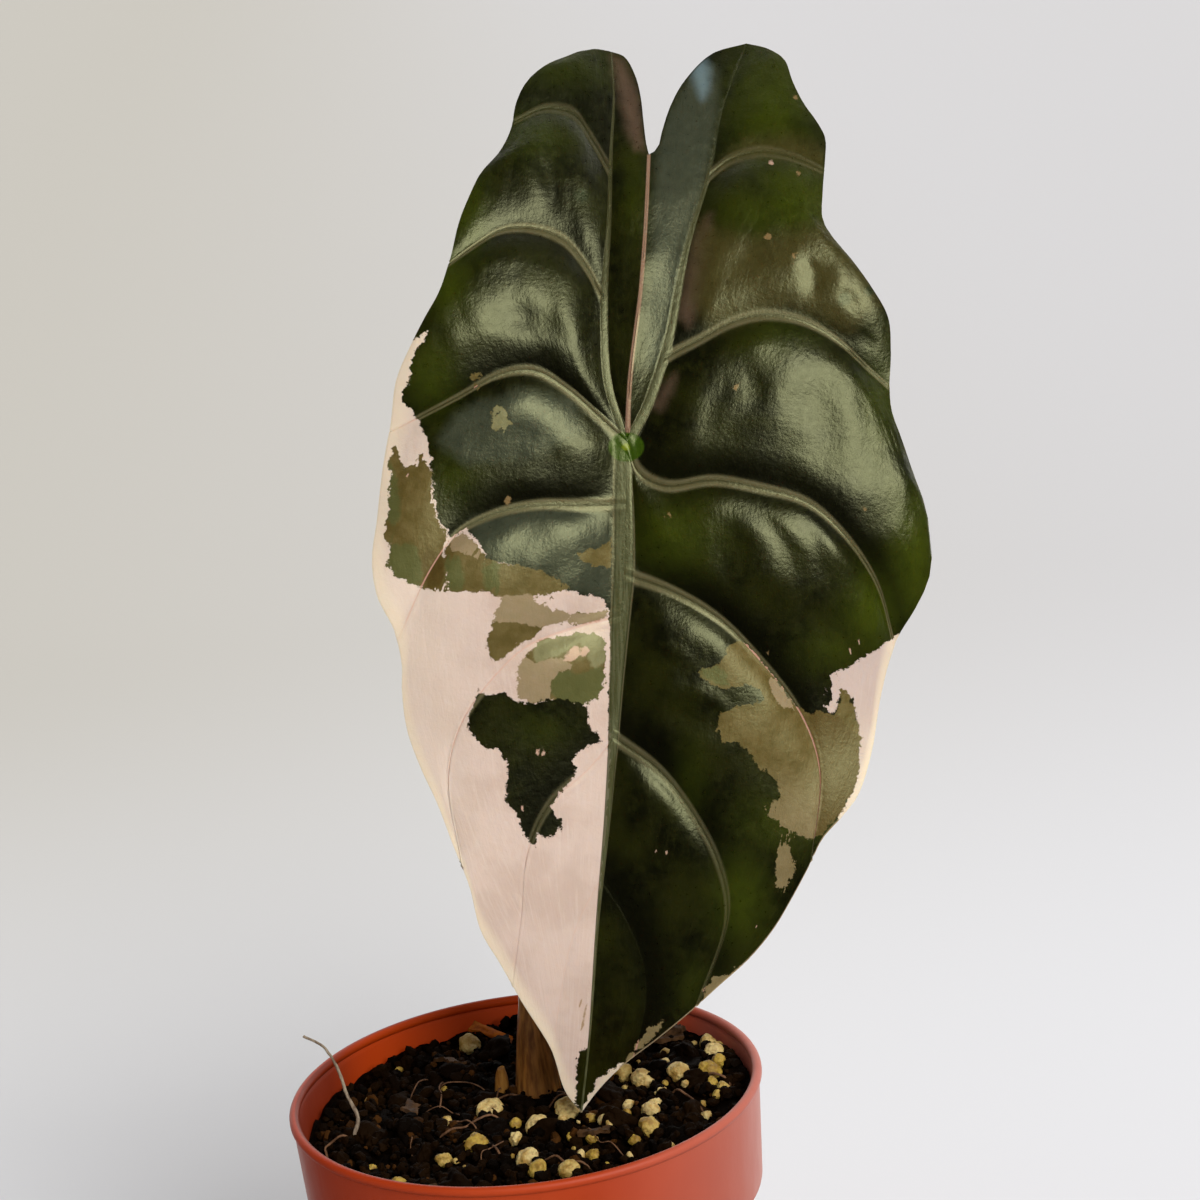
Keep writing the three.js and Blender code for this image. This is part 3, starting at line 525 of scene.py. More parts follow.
def along(curve, ways):
    places, shares = curve
    return np.stack([np.interp(ways, shares, places[:, k]) for k in range(places.shape[1])], -1)


def nearest_way(curve, point):
    places, shares = curve
    return shares[np.argmin(np.linalg.norm(places - np.array(point), axis=1))]


def tube_along(name, points, radius_at, sides=24, steps=80):
    """A closed tube along the curve through the points."""
    path = along(smooth_curve(points), np.linspace(0, 1, steps + 1)) * MM
    data = bpy.data.curves.new(name, "CURVE")
    data.dimensions = "3D"
    data.bevel_depth = MM
    data.bevel_resolution = sides // 4 - 1
    data.use_fill_caps = True
    spline = data.splines.new("POLY")
    spline.points.add(steps)
    for k, place in enumerate(path):
        spline.points[k].co = (*place, 1)
        spline.points[k].radius = radius_at(k / steps)
    tube = bpy.data.objects.new(name, data)
    bpy.context.collection.objects.link(tube)
    choose(tube)
    bpy.ops.object.convert(target="MESH")
    tube = named(name)
    in_edit(tube, merge_doubles, face_outward)
    return tube


# Finishes


class Finish:
    """A surface put together node by node."""

    def __init__(self, name, **sockets):
        self.material = bpy.data.materials.new(name)
        self.material.use_nodes = True
        self.tree = self.material.node_tree
        self.shader = self.tree.nodes["Principled BSDF"]
        for key, value in sockets.items():
            self.shader.inputs[key.replace("_", " ")].default_value = value
        self.object_place = self.tree.nodes.new("ShaderNodeTexCoord").outputs["Object"]

    def feed(self, socket, value):
        if isinstance(value, bpy.types.NodeSocket):
            self.tree.links.new(value, socket)
        else:
            socket.default_value = value

    def attribute(self, name, output="Fac"):
        node = self.tree.nodes.new("ShaderNodeAttribute")
        node.attribute_name = name
        return node.outputs[output]

    def maths(self, operation, *values, clamp=False):
        node = self.tree.nodes.new("ShaderNodeMath")
        node.operation = operation
        node.use_clamp = clamp
        for socket, value in zip(node.inputs, values):
            self.feed(socket, value)
        return node.outputs[0]

    def between(self, value, low, high, to_low=0.0, to_high=1.0):
        node = self.tree.nodes.new("ShaderNodeMapRange")
        node.interpolation_type = "SMOOTHSTEP"
        keys = ("Value", "From Min", "From Max", "To Min", "To Max")
        for key, given in zip(keys, (value, low, high, to_low, to_high)):
            self.feed(node.inputs[key], given)
        return node.outputs["Result"]

    def mix(self, factor, first, second):
        node = self.tree.nodes.new("ShaderNodeMix")
        node.data_type = "RGBA"
        self.feed(node.inputs[0], factor)
        for socket, value in ((node.inputs[6], first), (node.inputs[7], second)):
            self.feed(socket, (*value, 1) if isinstance(value, tuple) and len(value) == 3 else value)
        return node.outputs[2]

    def parts(self, vector):
        """The vector's X, Y and Z."""
        node = self.tree.nodes.new("ShaderNodeSeparateXYZ")
        self.feed(node.inputs[0], vector)
        return node.outputs["X"], node.outputs["Y"], node.outputs["Z"]

    def stretched(self, vector, scale):
        node = self.tree.nodes.new("ShaderNodeMapping")
        self.feed(node.inputs["Vector"], vector)
        node.inputs["Scale"].default_value = scale
        return node.outputs[0]

    def noise(self, vector, scale, detail=3.0, roughness=0.55):
        node = self.tree.nodes.new("ShaderNodeTexNoise")
        self.feed(node.inputs["Vector"], vector)
        node.inputs["Scale"].default_value = scale
        node.inputs["Detail"].default_value = detail
        node.inputs["Roughness"].default_value = roughness
        return node.outputs["Fac"]

    def cells(self, vector, scale):
        node = self.tree.nodes.new("ShaderNodeTexVoronoi")
        self.feed(node.inputs["Vector"], vector)
        node.inputs["Scale"].default_value = scale
        return node.outputs["Distance"]

    def colour(self, value):
        self.feed(self.shader.inputs["Base Color"], value)

    def roughness(self, value):
        self.feed(self.shader.inputs["Roughness"], value)

    def bump(self, height, distance, strength):
        node = self.tree.nodes.new("ShaderNodeBump")
        node.inputs["Strength"].default_value = strength
        node.inputs["Distance"].default_value = distance
        self.feed(node.inputs["Height"], height)
        self.feed(self.shader.inputs["Normal"], node.outputs[0])


def leaf_finish(name, underside=False):
    """Waxy variegated leaf: dark green, with pink and khaki patches, pale veins and a cream margin, and with
    painted shade by the veins, a painted backlight glow, a painted sheen and a painted reflection.
    """
    f = Finish(
        name, Specular_IOR_Level=0.4, Specular_Tint=(0.97, 1, 0.56, 1), Subsurface_Weight=0.3,
        Subsurface_Radius=(1, 0.6, 0.35), Subsurface_Scale=0.0012,
    )
    place = f.attribute("leaf_place", "Vector")
    flow = f.attribute("leaf_flow", "Vector")
    rag = f.maths("MULTIPLY", f.maths("SUBTRACT", f.noise(place, 0.6, 6, 0.7), 0.5), 3.6)
    across, along, _ = f.parts(place)
    from_vein = f.attribute("from_vein")

    def patch(kind, edge=0.1, ragged=1.0, share=1.0):
        """How much of a patch shows: its outline, blurred by the edge and torn by the noise."""
        value = f.maths("MULTIPLY_ADD", rag, ragged, f.attribute(kind))
        return f.between(value, -edge, edge, 0, share)

    cloud = f.noise(place, 0.09, 3)
    mottle = f.noise(place, 0.4, 4)
    fine = f.noise(f.stretched(flow, (1.6, 0.35, 1)), 1.0, 4, 0.6)
    veinlets = f.noise(f.stretched(flow, (0.9, 0.16, 1)), 1.0, 2, 0.5)
    grain = f.noise(place, 2.6, 3, 0.6)

    green = f.mix(f.between(cloud, 0.35, 0.68), (0.0018, 0.0020, 0.0002), (0.010, 0.0108, 0.0006))
    green = f.mix(f.between(mottle, 0.42, 0.75), green, (0.009, 0.0095, 0.0010))
    green = f.mix(f.between(veinlets, 0.55, 0.72, 0, 0.3), green, (0.014, 0.014, 0.003))
    # Painted shade: the green is darkened within five millimetres of each side vein, in the grooves on both
    # sides of it.
    green = f.mix(f.between(from_vein, 5, 1, 0, 0.5), green, (0.0010, 0.0010, 0.0001))
    # Painted shade: the green is darkened most in the lower part of each cell, just above the vein below it.
    green = f.mix(f.between(f.attribute("above_vein"), 11, 3, 0, 0.85), green, (0.0010, 0.0009, 0.0001))
    # Painted light: the green is lightened to a bright green where backlight would shine through the thin
    # tissue.
    painted_backlight = f.maths("MULTIPLY", f.attribute("painted_backlight"), f.between(mottle, 0.2, 0.6, 0.65, 1))
    green = f.mix(f.maths("MULTIPLY", painted_backlight, 0.85, clamp=True), green, (0.034, 0.046, 0.0007))
    grey = f.mix(mottle, (0.018, 0.022, 0.013), (0.045, 0.050, 0.031))
    khaki = f.mix(f.between(mottle, 0.35, 0.65), (0.076, 0.053, 0.012), (0.102, 0.073, 0.022))
    light_khaki = f.mix(mottle, (0.145, 0.106, 0.046), (0.200, 0.154, 0.082))
    moss = f.mix(mottle, (0.052, 0.052, 0.012), (0.084, 0.084, 0.026))
    sage = f.mix(mottle, (0.125, 0.120, 0.052), (0.190, 0.180, 0.090))
    pale_khaki = f.mix(mottle, (0.185, 0.142, 0.070), (0.240, 0.172, 0.105))
    khaki = f.mix(f.between(along, -57, -71, 0, 0.7), khaki, light_khaki)
    khaki = f.mix(patch("moss", 0.4, 0.8), khaki, moss)
    khaki = f.mix(patch("sage", 0.3, 0.6, 0.85), khaki, sage)
    khaki = f.mix(patch("brown", 0.4, 0.6), khaki, (0.068, 0.043, 0.009))
    khaki = f.mix(patch("pale", ragged=0.6), khaki, pale_khaki)
    pink = f.mix(f.between(cloud, 0.38, 0.62), (0.425, 0.322, 0.270), (0.475, 0.370, 0.318))
    pink = f.mix(f.between(veinlets, 0.5, 0.7, 0, 0.35), pink, (0.510, 0.415, 0.360))
    # Painted light and shade: the pink is paler and creamier towards the left, and darker towards the right.
    pink = f.mix(f.between(across, -20, -44, 0, 0.55), pink, (0.570, 0.485, 0.400))
    pink = f.mix(f.between(across, 5, 30, 0, 0.5), pink, (0.390, 0.315, 0.290))
    rosy = f.mix(mottle, (0.050, 0.030, 0.018), (0.100, 0.062, 0.040))

    skin = f.mix(patch("grey", 1.5, 0.6, 0.85), green, grey)
    skin = f.mix(patch("rosy", 1.5, 0.5, 0.8), skin, rosy)
    # Painted sheen: lighter olive patches on the right lobe, standing in for the window's light on it.
    painted_sheen = f.mix(mottle, (0.022, 0.017, 0.003), (0.056, 0.046, 0.012))
    skin = f.mix(patch("painted_sheen", 2.5, 0.8, 0.85), skin, painted_sheen)
    # Painted reflection: a small pale blue patch on the right lobe's notch edge.
    skin = f.mix(patch("painted_reflection", 1.4, 0.3, 0.65), skin, (0.130, 0.185, 0.200))
    in_pink, in_khaki, in_island = patch("pink"), patch("khaki"), patch("island")
    skin = f.mix(in_pink, skin, pink)
    skin = f.mix(in_khaki, skin, khaki)
    skin = f.mix(in_island, skin, green)
    skin = f.mix(patch("tan_spot", 0.15, 0.35, 0.75), skin, (0.200, 0.125, 0.050))
    skin = f.mix(patch("pink_spot", 0.15, 0.35, 0.85), skin, (0.420, 0.270, 0.200))
    skin = f.mix(patch("dark_spot", 0.5, 0.3, 0.8), skin, (0.010, 0.016, 0.006))

    pale = f.maths("SUBTRACT", f.maths("MAXIMUM", in_pink, in_khaki), in_island, clamp=True)
    on_pink = f.maths("SUBTRACT", in_pink, f.maths("MAXIMUM", in_khaki, in_island), clamp=True)

    side = f.attribute("side_vein")
    band = f.maths("MULTIPLY", f.between(side, 1.3, 0.6, 0, 0.8), f.between(along, 44, 54, 1, 0.4))
    band = f.maths("MULTIPLY", band, f.between(along, -95, -25, 0.35, 1))
    lines = f.maths("MULTIPLY", f.between(side, 0.42, 0.62), f.between(side, 0.98, 0.8))
    lines = f.maths("MULTIPLY", lines, f.between(f.noise(place, 0.25, 2), 0.3, 0.65, 0.35, 1))
    vein_colour = f.mix(f.between(side, 0.1, 0.35), (0.045, 0.040, 0.015), (0.088, 0.078, 0.034))
    vein_colour = f.mix(f.maths("MULTIPLY", lines, 0.4), vein_colour, (0.150, 0.130, 0.075))
    green_veined = f.mix(band, skin, vein_colour)
    faint = f.maths("MULTIPLY", f.between(from_vein, 0.42, 0.12, 0, 0.45), f.between(along, -75, -45, 0.4, 1))
    pale_veined = f.mix(faint, skin, (0.500, 0.290, 0.220))
    off_pink = f.maths("SUBTRACT", 1, on_pink)
    rosy_line = f.maths("MULTIPLY", f.between(from_vein, 0.4, 0.15, 0, 0.75), off_pink)
    pale_veined = f.mix(rosy_line, pale_veined, (0.380, 0.190, 0.150))
    skin = f.mix(pale, green_veined, pale_veined)

    up_the_lobes = f.between(along, 2, 20)
    main = f.attribute("main_vein")
    seen = f.maths("MAXIMUM", f.between(along, 46, 56, 1, 0.15), f.between(across, 8, 4))
    streaks = f.noise(f.stretched(place, (2.2, 0.12, 1)), 1.0, 3)
    main_colour = f.mix(f.between(streaks, 0.35, 0.65), (0.045, 0.046, 0.016), (0.078, 0.080, 0.038))
    main_colour = f.mix(f.between(main, 0.62, 0.78, 0, 0.8), main_colour, (0.025, 0.025, 0.008))
    main_colour = f.mix(f.between(main, 0.8, 0.94, 0, 0.7), main_colour, (0.105, 0.090, 0.045))
    main_colour = f.mix(f.maths("MULTIPLY", up_the_lobes, 0.55), main_colour, (0.026, 0.024, 0.008))
    skin = f.mix(f.maths("MULTIPLY", f.between(main, 1.1, 0.95, 0, 0.9), seen), skin, main_colour)
    skin = f.mix(f.between(f.attribute("seam"), 0.42, 0.2, 0, 0.9), skin, (0.220, 0.130, 0.085))
    from_joint = f.attribute("joint_distance")
    skin = f.mix(f.between(from_joint, 1.08, 0.92), skin, (0.022, 0.048, 0.001))
    skin = f.mix(f.between(from_joint, 0.32, 0.15, 0, 0.9), skin, (0.110, 0.140, 0.002))

    margin = f.attribute("margin")
    edge_colour = f.mix(f.attribute("low_margin"), green, (0.330, 0.250, 0.150))
    skin = f.mix(f.between(margin, 0.45, 0.15, 0, 0.6), skin, edge_colour)
    rim = f.maths("MULTIPLY", f.between(margin, 4.5, 1), f.maths("MULTIPLY", on_pink, 0.8))
    skin = f.mix(rim, skin, (0.58, 0.49, 0.37))

    gloss = f.maths("MULTIPLY_ADD", f.noise(place, 0.8, 5, 0.65), 0.28, 0.175)
    gloss = f.maths("ADD", gloss, f.maths("MULTIPLY", pale, 0.1))
    if underside:
        skin = f.mix(0.55, skin, f.mix(on_pink, (0.120, 0.085, 0.075), (0.500, 0.380, 0.310)))
        gloss = f.maths("ADD", gloss, 0.2)
    f.colour(skin)
    f.roughness(gloss)
    leather = f.noise(f.stretched(flow, (0.55, 0.3, 1)), 1.0, 4, 0.6)
    relief = f.maths("ADD", f.maths("MULTIPLY", fine, 0.3), f.maths("MULTIPLY", f.noise(place, 1.1, 3), 0.6))
    relief = f.maths("ADD", relief, f.maths("MULTIPLY", leather, 0.65))
    relief = f.maths("ADD", relief, f.maths("MULTIPLY", grain, 0.25))
    f.bump(relief, 0.0003, 0.38)
    return f.material


def pot_finish():
    f = Finish("terracotta_plastic", Specular_IOR_Level=0.2)
    place = f.object_place
    cloud = f.noise(place, 40, 3)
    speck = f.noise(place, 900, 2)
    scuff = f.noise(f.stretched(place, (1, 1, 0.25)), 260, 5, 0.7)
    across, back, _ = f.parts(place)
    colour = f.mix(f.between(cloud, 0.3, 0.7), (0.29, 0.027, 0.002), (0.34, 0.036, 0.004))
    # Painted light: the right side is paler pink for the window's sheen; painted shade: the left side is a
    # darker red.
    colour = f.mix(f.between(across, 0.005, 0.045, 0, 0.55), colour, (0.40, 0.140, 0.108))
    colour = f.mix(f.between(across, -0.015, -0.04, 0, 0.5), colour, (0.26, 0.018, 0.001))
    inside = f.attribute("inside")
    # Painted shade: the inner wall is darker towards the left.
    painted_shade_inside_left = f.maths("MULTIPLY", inside, f.between(across, 0, -0.03, 0, 0.8))
    colour = f.mix(painted_shade_inside_left, colour, (0.085, 0.008, 0.0004))
    # Painted light: the inner wall is brighter and more saturated towards the back.
    painted_light_inside_back = f.maths("MULTIPLY", inside, f.between(back, 0.02, 0.036, 0, 0.8))
    colour = f.mix(painted_light_inside_back, colour, (0.56, 0.055, 0.002))
    colour = f.mix(f.between(scuff, 0.62, 0.8, 0, 0.2), colour, (0.40, 0.07, 0.02))
    f.colour(colour)
    f.roughness(f.maths("MULTIPLY_ADD", scuff, 0.2, 0.4))
    f.bump(f.maths("ADD", f.maths("MULTIPLY", speck, 0.4), scuff), 0.00006, 0.5)
    return f.material


def soil_finish():
    f = Finish("dark_potting_mix", Specular_IOR_Level=0.02)
    place = f.object_place
    tone = f.noise(place, 420, 5, 0.7)
    colour = f.mix(f.between(tone, 0.35, 0.7), (0.0010, 0.0004, 0.0001), (0.004, 0.0016, 0.0003))
    f.colour(colour)
    f.roughness(f.maths("MULTIPLY_ADD", tone, 0.3, 0.6))
    f.bump(f.maths("ADD", tone, f.noise(place, 1500, 3)), 0.0006, 0.9)
    return f.material


def crumb_finish():
    f = Finish("soil_crumb", Specular_IOR_Level=0.02)
    tone = f.attribute("tone")
    grain = f.noise(f.object_place, 1100, 4, 0.65)
    colour = f.mix(f.between(tone, 0.0, 0.8), (0.0012, 0.0005, 0.0001), (0.007, 0.0028, 0.0005))
    colour = f.mix(f.between(tone, 0.9, 0.98), colour, (0.040, 0.015, 0.003))
    colour = f.mix(f.between(grain, 0.6, 0.75, 0, 0.3), colour, (0.009, 0.004, 0.0012))
    f.colour(colour)
    f.roughness(f.maths("MULTIPLY_ADD", grain, 0.35, 0.5))
    f.bump(grain, 0.0004, 0.8)
    return f.material


def mineral_finish():
    f = Finish("mineral_grain", Specular_IOR_Level=0.35, Subsurface_Weight=0.08, Subsurface_Scale=0.001)
    tone = f.attribute("tone")
    place = f.object_place
    patch = f.noise(place, 380, 4, 0.6)
    pit = f.cells(place, 1500)
    ochre = f.mix(f.between(patch, 0.35, 0.62), (0.165, 0.090, 0.007), (0.340, 0.225, 0.030))
    cream = f.mix(f.between(patch, 0.35, 0.62), (0.280, 0.165, 0.034), (0.500, 0.385, 0.160))
    chalk = f.mix(patch, (0.560, 0.520, 0.470), (0.780, 0.770, 0.760))
    colour = f.mix(f.between(tone, 0.2, 0.5), ochre, cream)
    colour = f.mix(f.between(tone, 0.75, 0.9), colour, chalk)
    colour = f.mix(f.between(patch, 0.55, 0.72, 0, 0.75), colour, (0.110, 0.048, 0.008))
    colour = f.mix(f.between(pit, 0.22, 0.08, 0, 0.35), colour, (0.120, 0.070, 0.030))
    f.colour(colour)
    f.roughness(f.maths("MULTIPLY_ADD", patch, 0.3, 0.5))
    f.bump(f.maths("ADD", f.noise(place, 1300, 4), f.maths("MULTIPLY", pit, 0.7)), 0.0004, 0.7)
    return f.material


def fibre_finish(name, dark, light, scale=700):
    f = Finish(name, Specular_IOR_Level=0.08)
    streak = f.noise(f.stretched(f.object_place, (1, 1, 0.12)), scale, 4, 0.65)
    f.colour(f.mix(f.between(streak, 0.32, 0.68), dark, light))
    f.roughness(f.maths("MULTIPLY_ADD", streak, 0.3, 0.5))
    f.bump(streak, 0.0002, 0.8)
    return f.material


def stalk_finish():
    """Brown living stalk with paler streaks, more orange towards its foot and green towards the leaf."""
    f = Finish("living_stalk", Specular_IOR_Level=0.25, Subsurface_Weight=0.15, Subsurface_Scale=0.002)
    place = f.object_place
    streak = f.noise(f.stretched(place, (1, 1, 0.07)), 900, 4, 0.6)
    blotch = f.noise(f.stretched(place, (1, 1, 0.4)), 190, 3)
    height = f.parts(place)[2]
    low = f.mix(f.between(streak, 0.35, 0.65), (0.095, 0.034, 0.006), (0.240, 0.100, 0.020))
    high = f.mix(f.between(streak, 0.35, 0.65), (0.080, 0.062, 0.012), (0.190, 0.150, 0.050))
    colour = f.mix(f.between(height, 0.086, 0.15), low, high)
    colour = f.mix(f.between(blotch, 0.55, 0.7, 0, 0.6), colour, (0.090, 0.040, 0.022))
    f.colour(colour)
    f.roughness(f.maths("MULTIPLY_ADD", streak, 0.2, 0.32))
    f.bump(streak, 0.00025, 0.6)
    return f.material


# Pot


def outer_radius(height):
    """A cone up to the step, and a wider band from there to the lip."""
    band_top = RIM_RADIUS - LIP_RADIUS / 2
    band_foot = band_top - BAND_FLARE
    if height > STEP_HEIGHT:
        return band_foot + BAND_FLARE * (height - STEP_HEIGHT) / (POT_HEIGHT - STEP_HEIGHT)
    return BASE_RADIUS + (band_foot - STEP_DEPTH - BASE_RADIUS) * height / STEP_HEIGHT


def inner_radius(height):
    return outer_radius(height) - WALL


def ringed_body(name, rings, sides):
    """A closed round body, raised ring by ring from a filled circle."""
    (radius, level), *rest = rings
    bpy.ops.mesh.primitive_circle_add(vertices=sides, radius=radius * MM, fill_type="NGON")
    body = named(name)
    bpy.ops.object.mode_set(mode="EDIT")
    bpy.ops.mesh.select_all(action="SELECT")
    bpy.ops.transform.translate(value=(0, 0, level * MM))
    for next_radius, next_level in rest:
        bpy.ops.mesh.extrude_region_move(TRANSFORM_OT_translate={"value": (0, 0, (next_level - level) * MM)})
        share = next_radius / radius
        bpy.ops.transform.resize(value=(share, share, 1), center_override=(0, 0, next_level * MM))
        radius, level = next_radius, next_level
    bpy.ops.object.mode_set(mode="OBJECT")
    in_edit(body, face_outward)
    return body


def make_pot():
    lip = [
        (
            RIM_RADIUS - LIP_RADIUS + LIP_RADIUS * math.cos(math.radians(angle)),
            POT_HEIGHT - LIP_RADIUS + LIP_RADIUS * math.sin(math.radians(angle)),
        )
        for angle in range(-60, 241, 25)
    ]
    step = [(outer_radius(STEP_HEIGHT), STEP_HEIGHT - 0.4), (outer_radius(STEP_HEIGHT) + 0.2, STEP_HEIGHT)]
    band = outer_radius(STEP_HEIGHT + WALL)
    rings = [
        (BASE_RADIUS - 1.2, 0),
        (BASE_RADIUS - 0.4, 0.25),
        (outer_radius(1.2), 1.2),
        (outer_radius(20), 20),
        (outer_radius(40), 40),
        *step,
        (band - 0.5, STEP_HEIGHT + 0.5 * WALL),
        (band - 0.12, STEP_HEIGHT + 0.8 * WALL),
        (band, STEP_HEIGHT + 1.2 * WALL),
        (outer_radius(POT_HEIGHT - 2.6), POT_HEIGHT - 2.6),
        *lip,
        (inner_radius(POT_HEIGHT - 2.6), POT_HEIGHT - 2.6),
        (inner_radius(STEP_HEIGHT + WALL), STEP_HEIGHT + WALL),
        (inner_radius(STEP_HEIGHT), STEP_HEIGHT),
        (inner_radius(20), 20),
        (inner_radius(FLOOR), FLOOR),
        (2, FLOOR),
    ]
    pot = ringed_body("nursery_pot", rings, 144)
    cutters = []
    for k in range(DRAIN_COUNT):
        angle = 2 * math.pi * (k + 0.5) / DRAIN_COUNT
        bpy.ops.mesh.primitive_cylinder_add(
            vertices=32, radius=DRAIN_RADIUS * MM, depth=4 * FLOOR * MM,
            location=(DRAIN_RING_RADIUS * math.cos(angle) * MM, DRAIN_RING_RADIUS * math.sin(angle) * MM, 0),
        )
        cutters.append(bpy.context.object)
    cutter = joined("drain_cutter", cutters)
    apply_modifier(pot, "BOOLEAN", object=cutter, operation="DIFFERENCE", solver="EXACT")
    bpy.data.objects.remove(cutter)
    places = places_of(pot) / MM
    middle = np.array([(outer_radius(height) + inner_radius(height)) / 2 for height in places[:, 2]])
    give_values(pot, "inside", np.hypot(places[:, 0], places[:, 1]) < middle)
    smooth(pot, 35)
    finish_with(pot, pot_finish())
    hand_over(pot, "pot", "pot")


# Soil


def soil_height(x, y):
    """The soil's level at a place, without its crumb."""
    waves = sum(height * math.sin(right * x + back * y + shift) for height, right, back, shift in SOIL_WAVES)
    return SOIL_LEVEL + SOIL_RISE_RIGHT * x + SOIL_RISE_BACK * y + waves


def make_soil_bed():
    top = SOIL_RADIUS
    rings = [
        (inner_radius(FLOOR) - 0.3, FLOOR + 0.3),
        (inner_radius(STEP_HEIGHT - 1) - 0.4, STEP_HEIGHT - 1),
        (top, STEP_HEIGHT + 2),
        *[(top * share, SOIL_LEVEL) for share in np.linspace(1, 0.01, 64)],
    ]
    bed = ringed_body("soil_bed", rings, 180)
    places = places_of(bed)
    for place in places:
        if place[2] > (SOIL_LEVEL - 0.1) * MM:
            x, y = place[0] / MM, place[1] / MM
            rough = noise.fractal(Vector((x * 0.28, y * 0.28, 3)), 1.0, 2.0, 5)
            pits = noise.fractal(Vector((x * 0.09, y * 0.09, 8)), 1.0, 2.0, 2)
            place[2] = (soil_height(x, y) - 0.5 + 1.1 * rough + 0.9 * pits) * MM
    put_places(bed, places)
    smooth(bed)
    finish_with(bed, soil_finish())
    hand_over(bed, "soil", "soil")


def spot_within(random, reach):
    radius = reach * math.sqrt(random.random())
    angle = 2 * math.pi * random.random()
    return radius * math.cos(angle), radius * math.sin(angle)


def stone_shapes(count, level, roughness, seed):
    """Differently dented balls of radius one, as places and faces."""
    shapes = []
    for k in range(count):
        bpy.ops.mesh.primitive_ico_sphere_add(subdivisions=level, radius=1)
        ball = bpy.context.object
        places = places_of(ball)
        for place in places:
            where = Vector(place) * 0.9 + Vector((seed + 7 * k, 3 * k, seed))
            dent = noise.fractal(where, 1.0, 2.0, 3)
            place *= 1 + roughness * dent
        faces = [tuple(face.vertices) for face in ball.data.polygons]
        shapes.append((places, faces))
        bpy.data.objects.remove(ball)
    return shapes


def scattered(name, shapes, spots, random, material, flat=0.75):
    """One mesh of many stones. A spot is place x, y, z, width and tone."""
    all_places, all_faces, tones, count = [], [], [], 0
    for x, y, z, width, tone in spots:
        places, faces = shapes[random.integers(len(shapes))]
        turn = Matrix.Rotation(random.random() * 2 * math.pi, 3, random.normal(size=3))
        size = np.array((1, 0.7 + 0.3 * random.random(), flat + 0.2 * random.random())) * width / 2
        placed = (places * size) @ np.array(turn).T + (x, y, z)
        all_places.append(placed)
        all_faces += [tuple(count + corner for corner in face) for face in faces]
        tones += [tone] * len(places)
        count += len(places)
    data = bpy.data.meshes.new(name)
    data.from_pydata((np.vstack(all_places) * MM).tolist(), [], all_faces)
    piece = bpy.data.objects.new(name, data)
    bpy.context.collection.objects.link(piece)
    give_values(piece, "tone", tones)
    finish_with(piece, material)
    return piece


# The larger grains that show: place right and back, width, and tone from ochre to chalky white
SHOWN_GRAINS = [
    (-10, 33.5, 4.5, 0.55), (-7, 2, 5.6, 0.45), (-10.3, -13.2, 4.5, 0.15), (-16.5, -16, 3.2, 0.3),
    (-25, -22, 3, 0.2), (-30, -13.5, 2.0, 0.0), (1.5, -7, 4.4, 0.5), (-3, -12, 2.8, 0.7),
    (-1, -20, 4.6, 0.6), (0.5, -26.5, 3.8, 0.25), (7.5, -4.5, 5.2, 0.4), (19, 9, 4.4, 0.35),
    (22.5, 5, 4.8, 0.45), (25.5, -2, 3, 0.72), (29.5, 2.5, 4.6, 0.4), (30.5, -9.5, 2.7, 0.78),
    (24, -7.5, 2.9, 0.6), (22.5, -10.5, 3.8, 0.65), (22, -16.5, 4.6, 0.3), (35, 1.5, 4.8, 0.05),
    (36.5, 17, 3.6, 0.4), (37, 10.5, 4, 0.65), (38, 14.5, 2.4, 0.3), (37.5, 5.5, 3.2, 0.05),
    (37, -5, 3, 0.3), (11, -23.5, 3, 0.0), (6, -28.5, 3.8, 0.35), (15, -14, 2.2, 0.5),
]


def make_grains():
    random = np.random.default_rng(11)
    spots = []
    for x, y, width, tone in SHOWN_GRAINS:
        spots.append((x, y, soil_height(x, y) + 0.12 * width, width, tone))
    shapes = stone_shapes(6, 4, 0.28, 5)
    grains = scattered("mineral_grains", shapes, spots, random, mineral_finish(), 0.8)
    smooth(grains)
    hand_over(grains, "soil")

    small = []
    while len(small) < GRIT_COUNT:
        x, y = spot_within(random, 39)
        likely = 0.25 + 0.75 * (x > 5) + 0.3 * (y < -5)
        far = all(math.hypot(x - gx, y - gy) > 0.5 * width for gx, gy, width, _ in SHOWN_GRAINS)
        if random.random() < likely and far:
            width = 0.9 + 2.3 * random.random() ** 1.6
            small.append((x, y, soil_height(x, y) + 0.1 * width, width, random.random() * 0.75))
    grit = scattered("mineral_grit", stone_shapes(5, 2, 0.3, 9), small, random, mineral_finish(), 0.7)
    smooth(grit)
    hand_over(grit, "soil")


def make_crumbs():
    random = np.random.default_rng(23)
    spots = []
    for _ in range(CRUMB_COUNT):
        x, y = spot_within(random, 41)
        width = 0.7 + 2.4 * random.random() ** 2.2
        heaped = math.exp(-((math.hypot(x, y) - 20) / 30) ** 2)
        lift = 0.15 * width + 0.7 * random.random() * heaped
        spots.append((x, y, soil_height(x, y) + lift - 0.3, width, random.random()))
    crumbs = scattered("soil_crumbs", stone_shapes(7, 2, 0.55, 14), spots, random, crumb_finish(), 0.6)
    hand_over(crumbs, "soil")

    clods = []
    for _ in range(CLOD_COUNT):
        x, y = spot_within(random, 36)
        width = 4 + 4 * random.random()
        clods.append((x, y, soil_height(x, y) - 0.5, width, 0.7 * random.random()))
    lumps = scattered("soil_clods", stone_shapes(6, 4, 0.5, 31), clods, random, crumb_finish(), 0.45)
    smooth(lumps)
    hand_over(lumps, "soil")


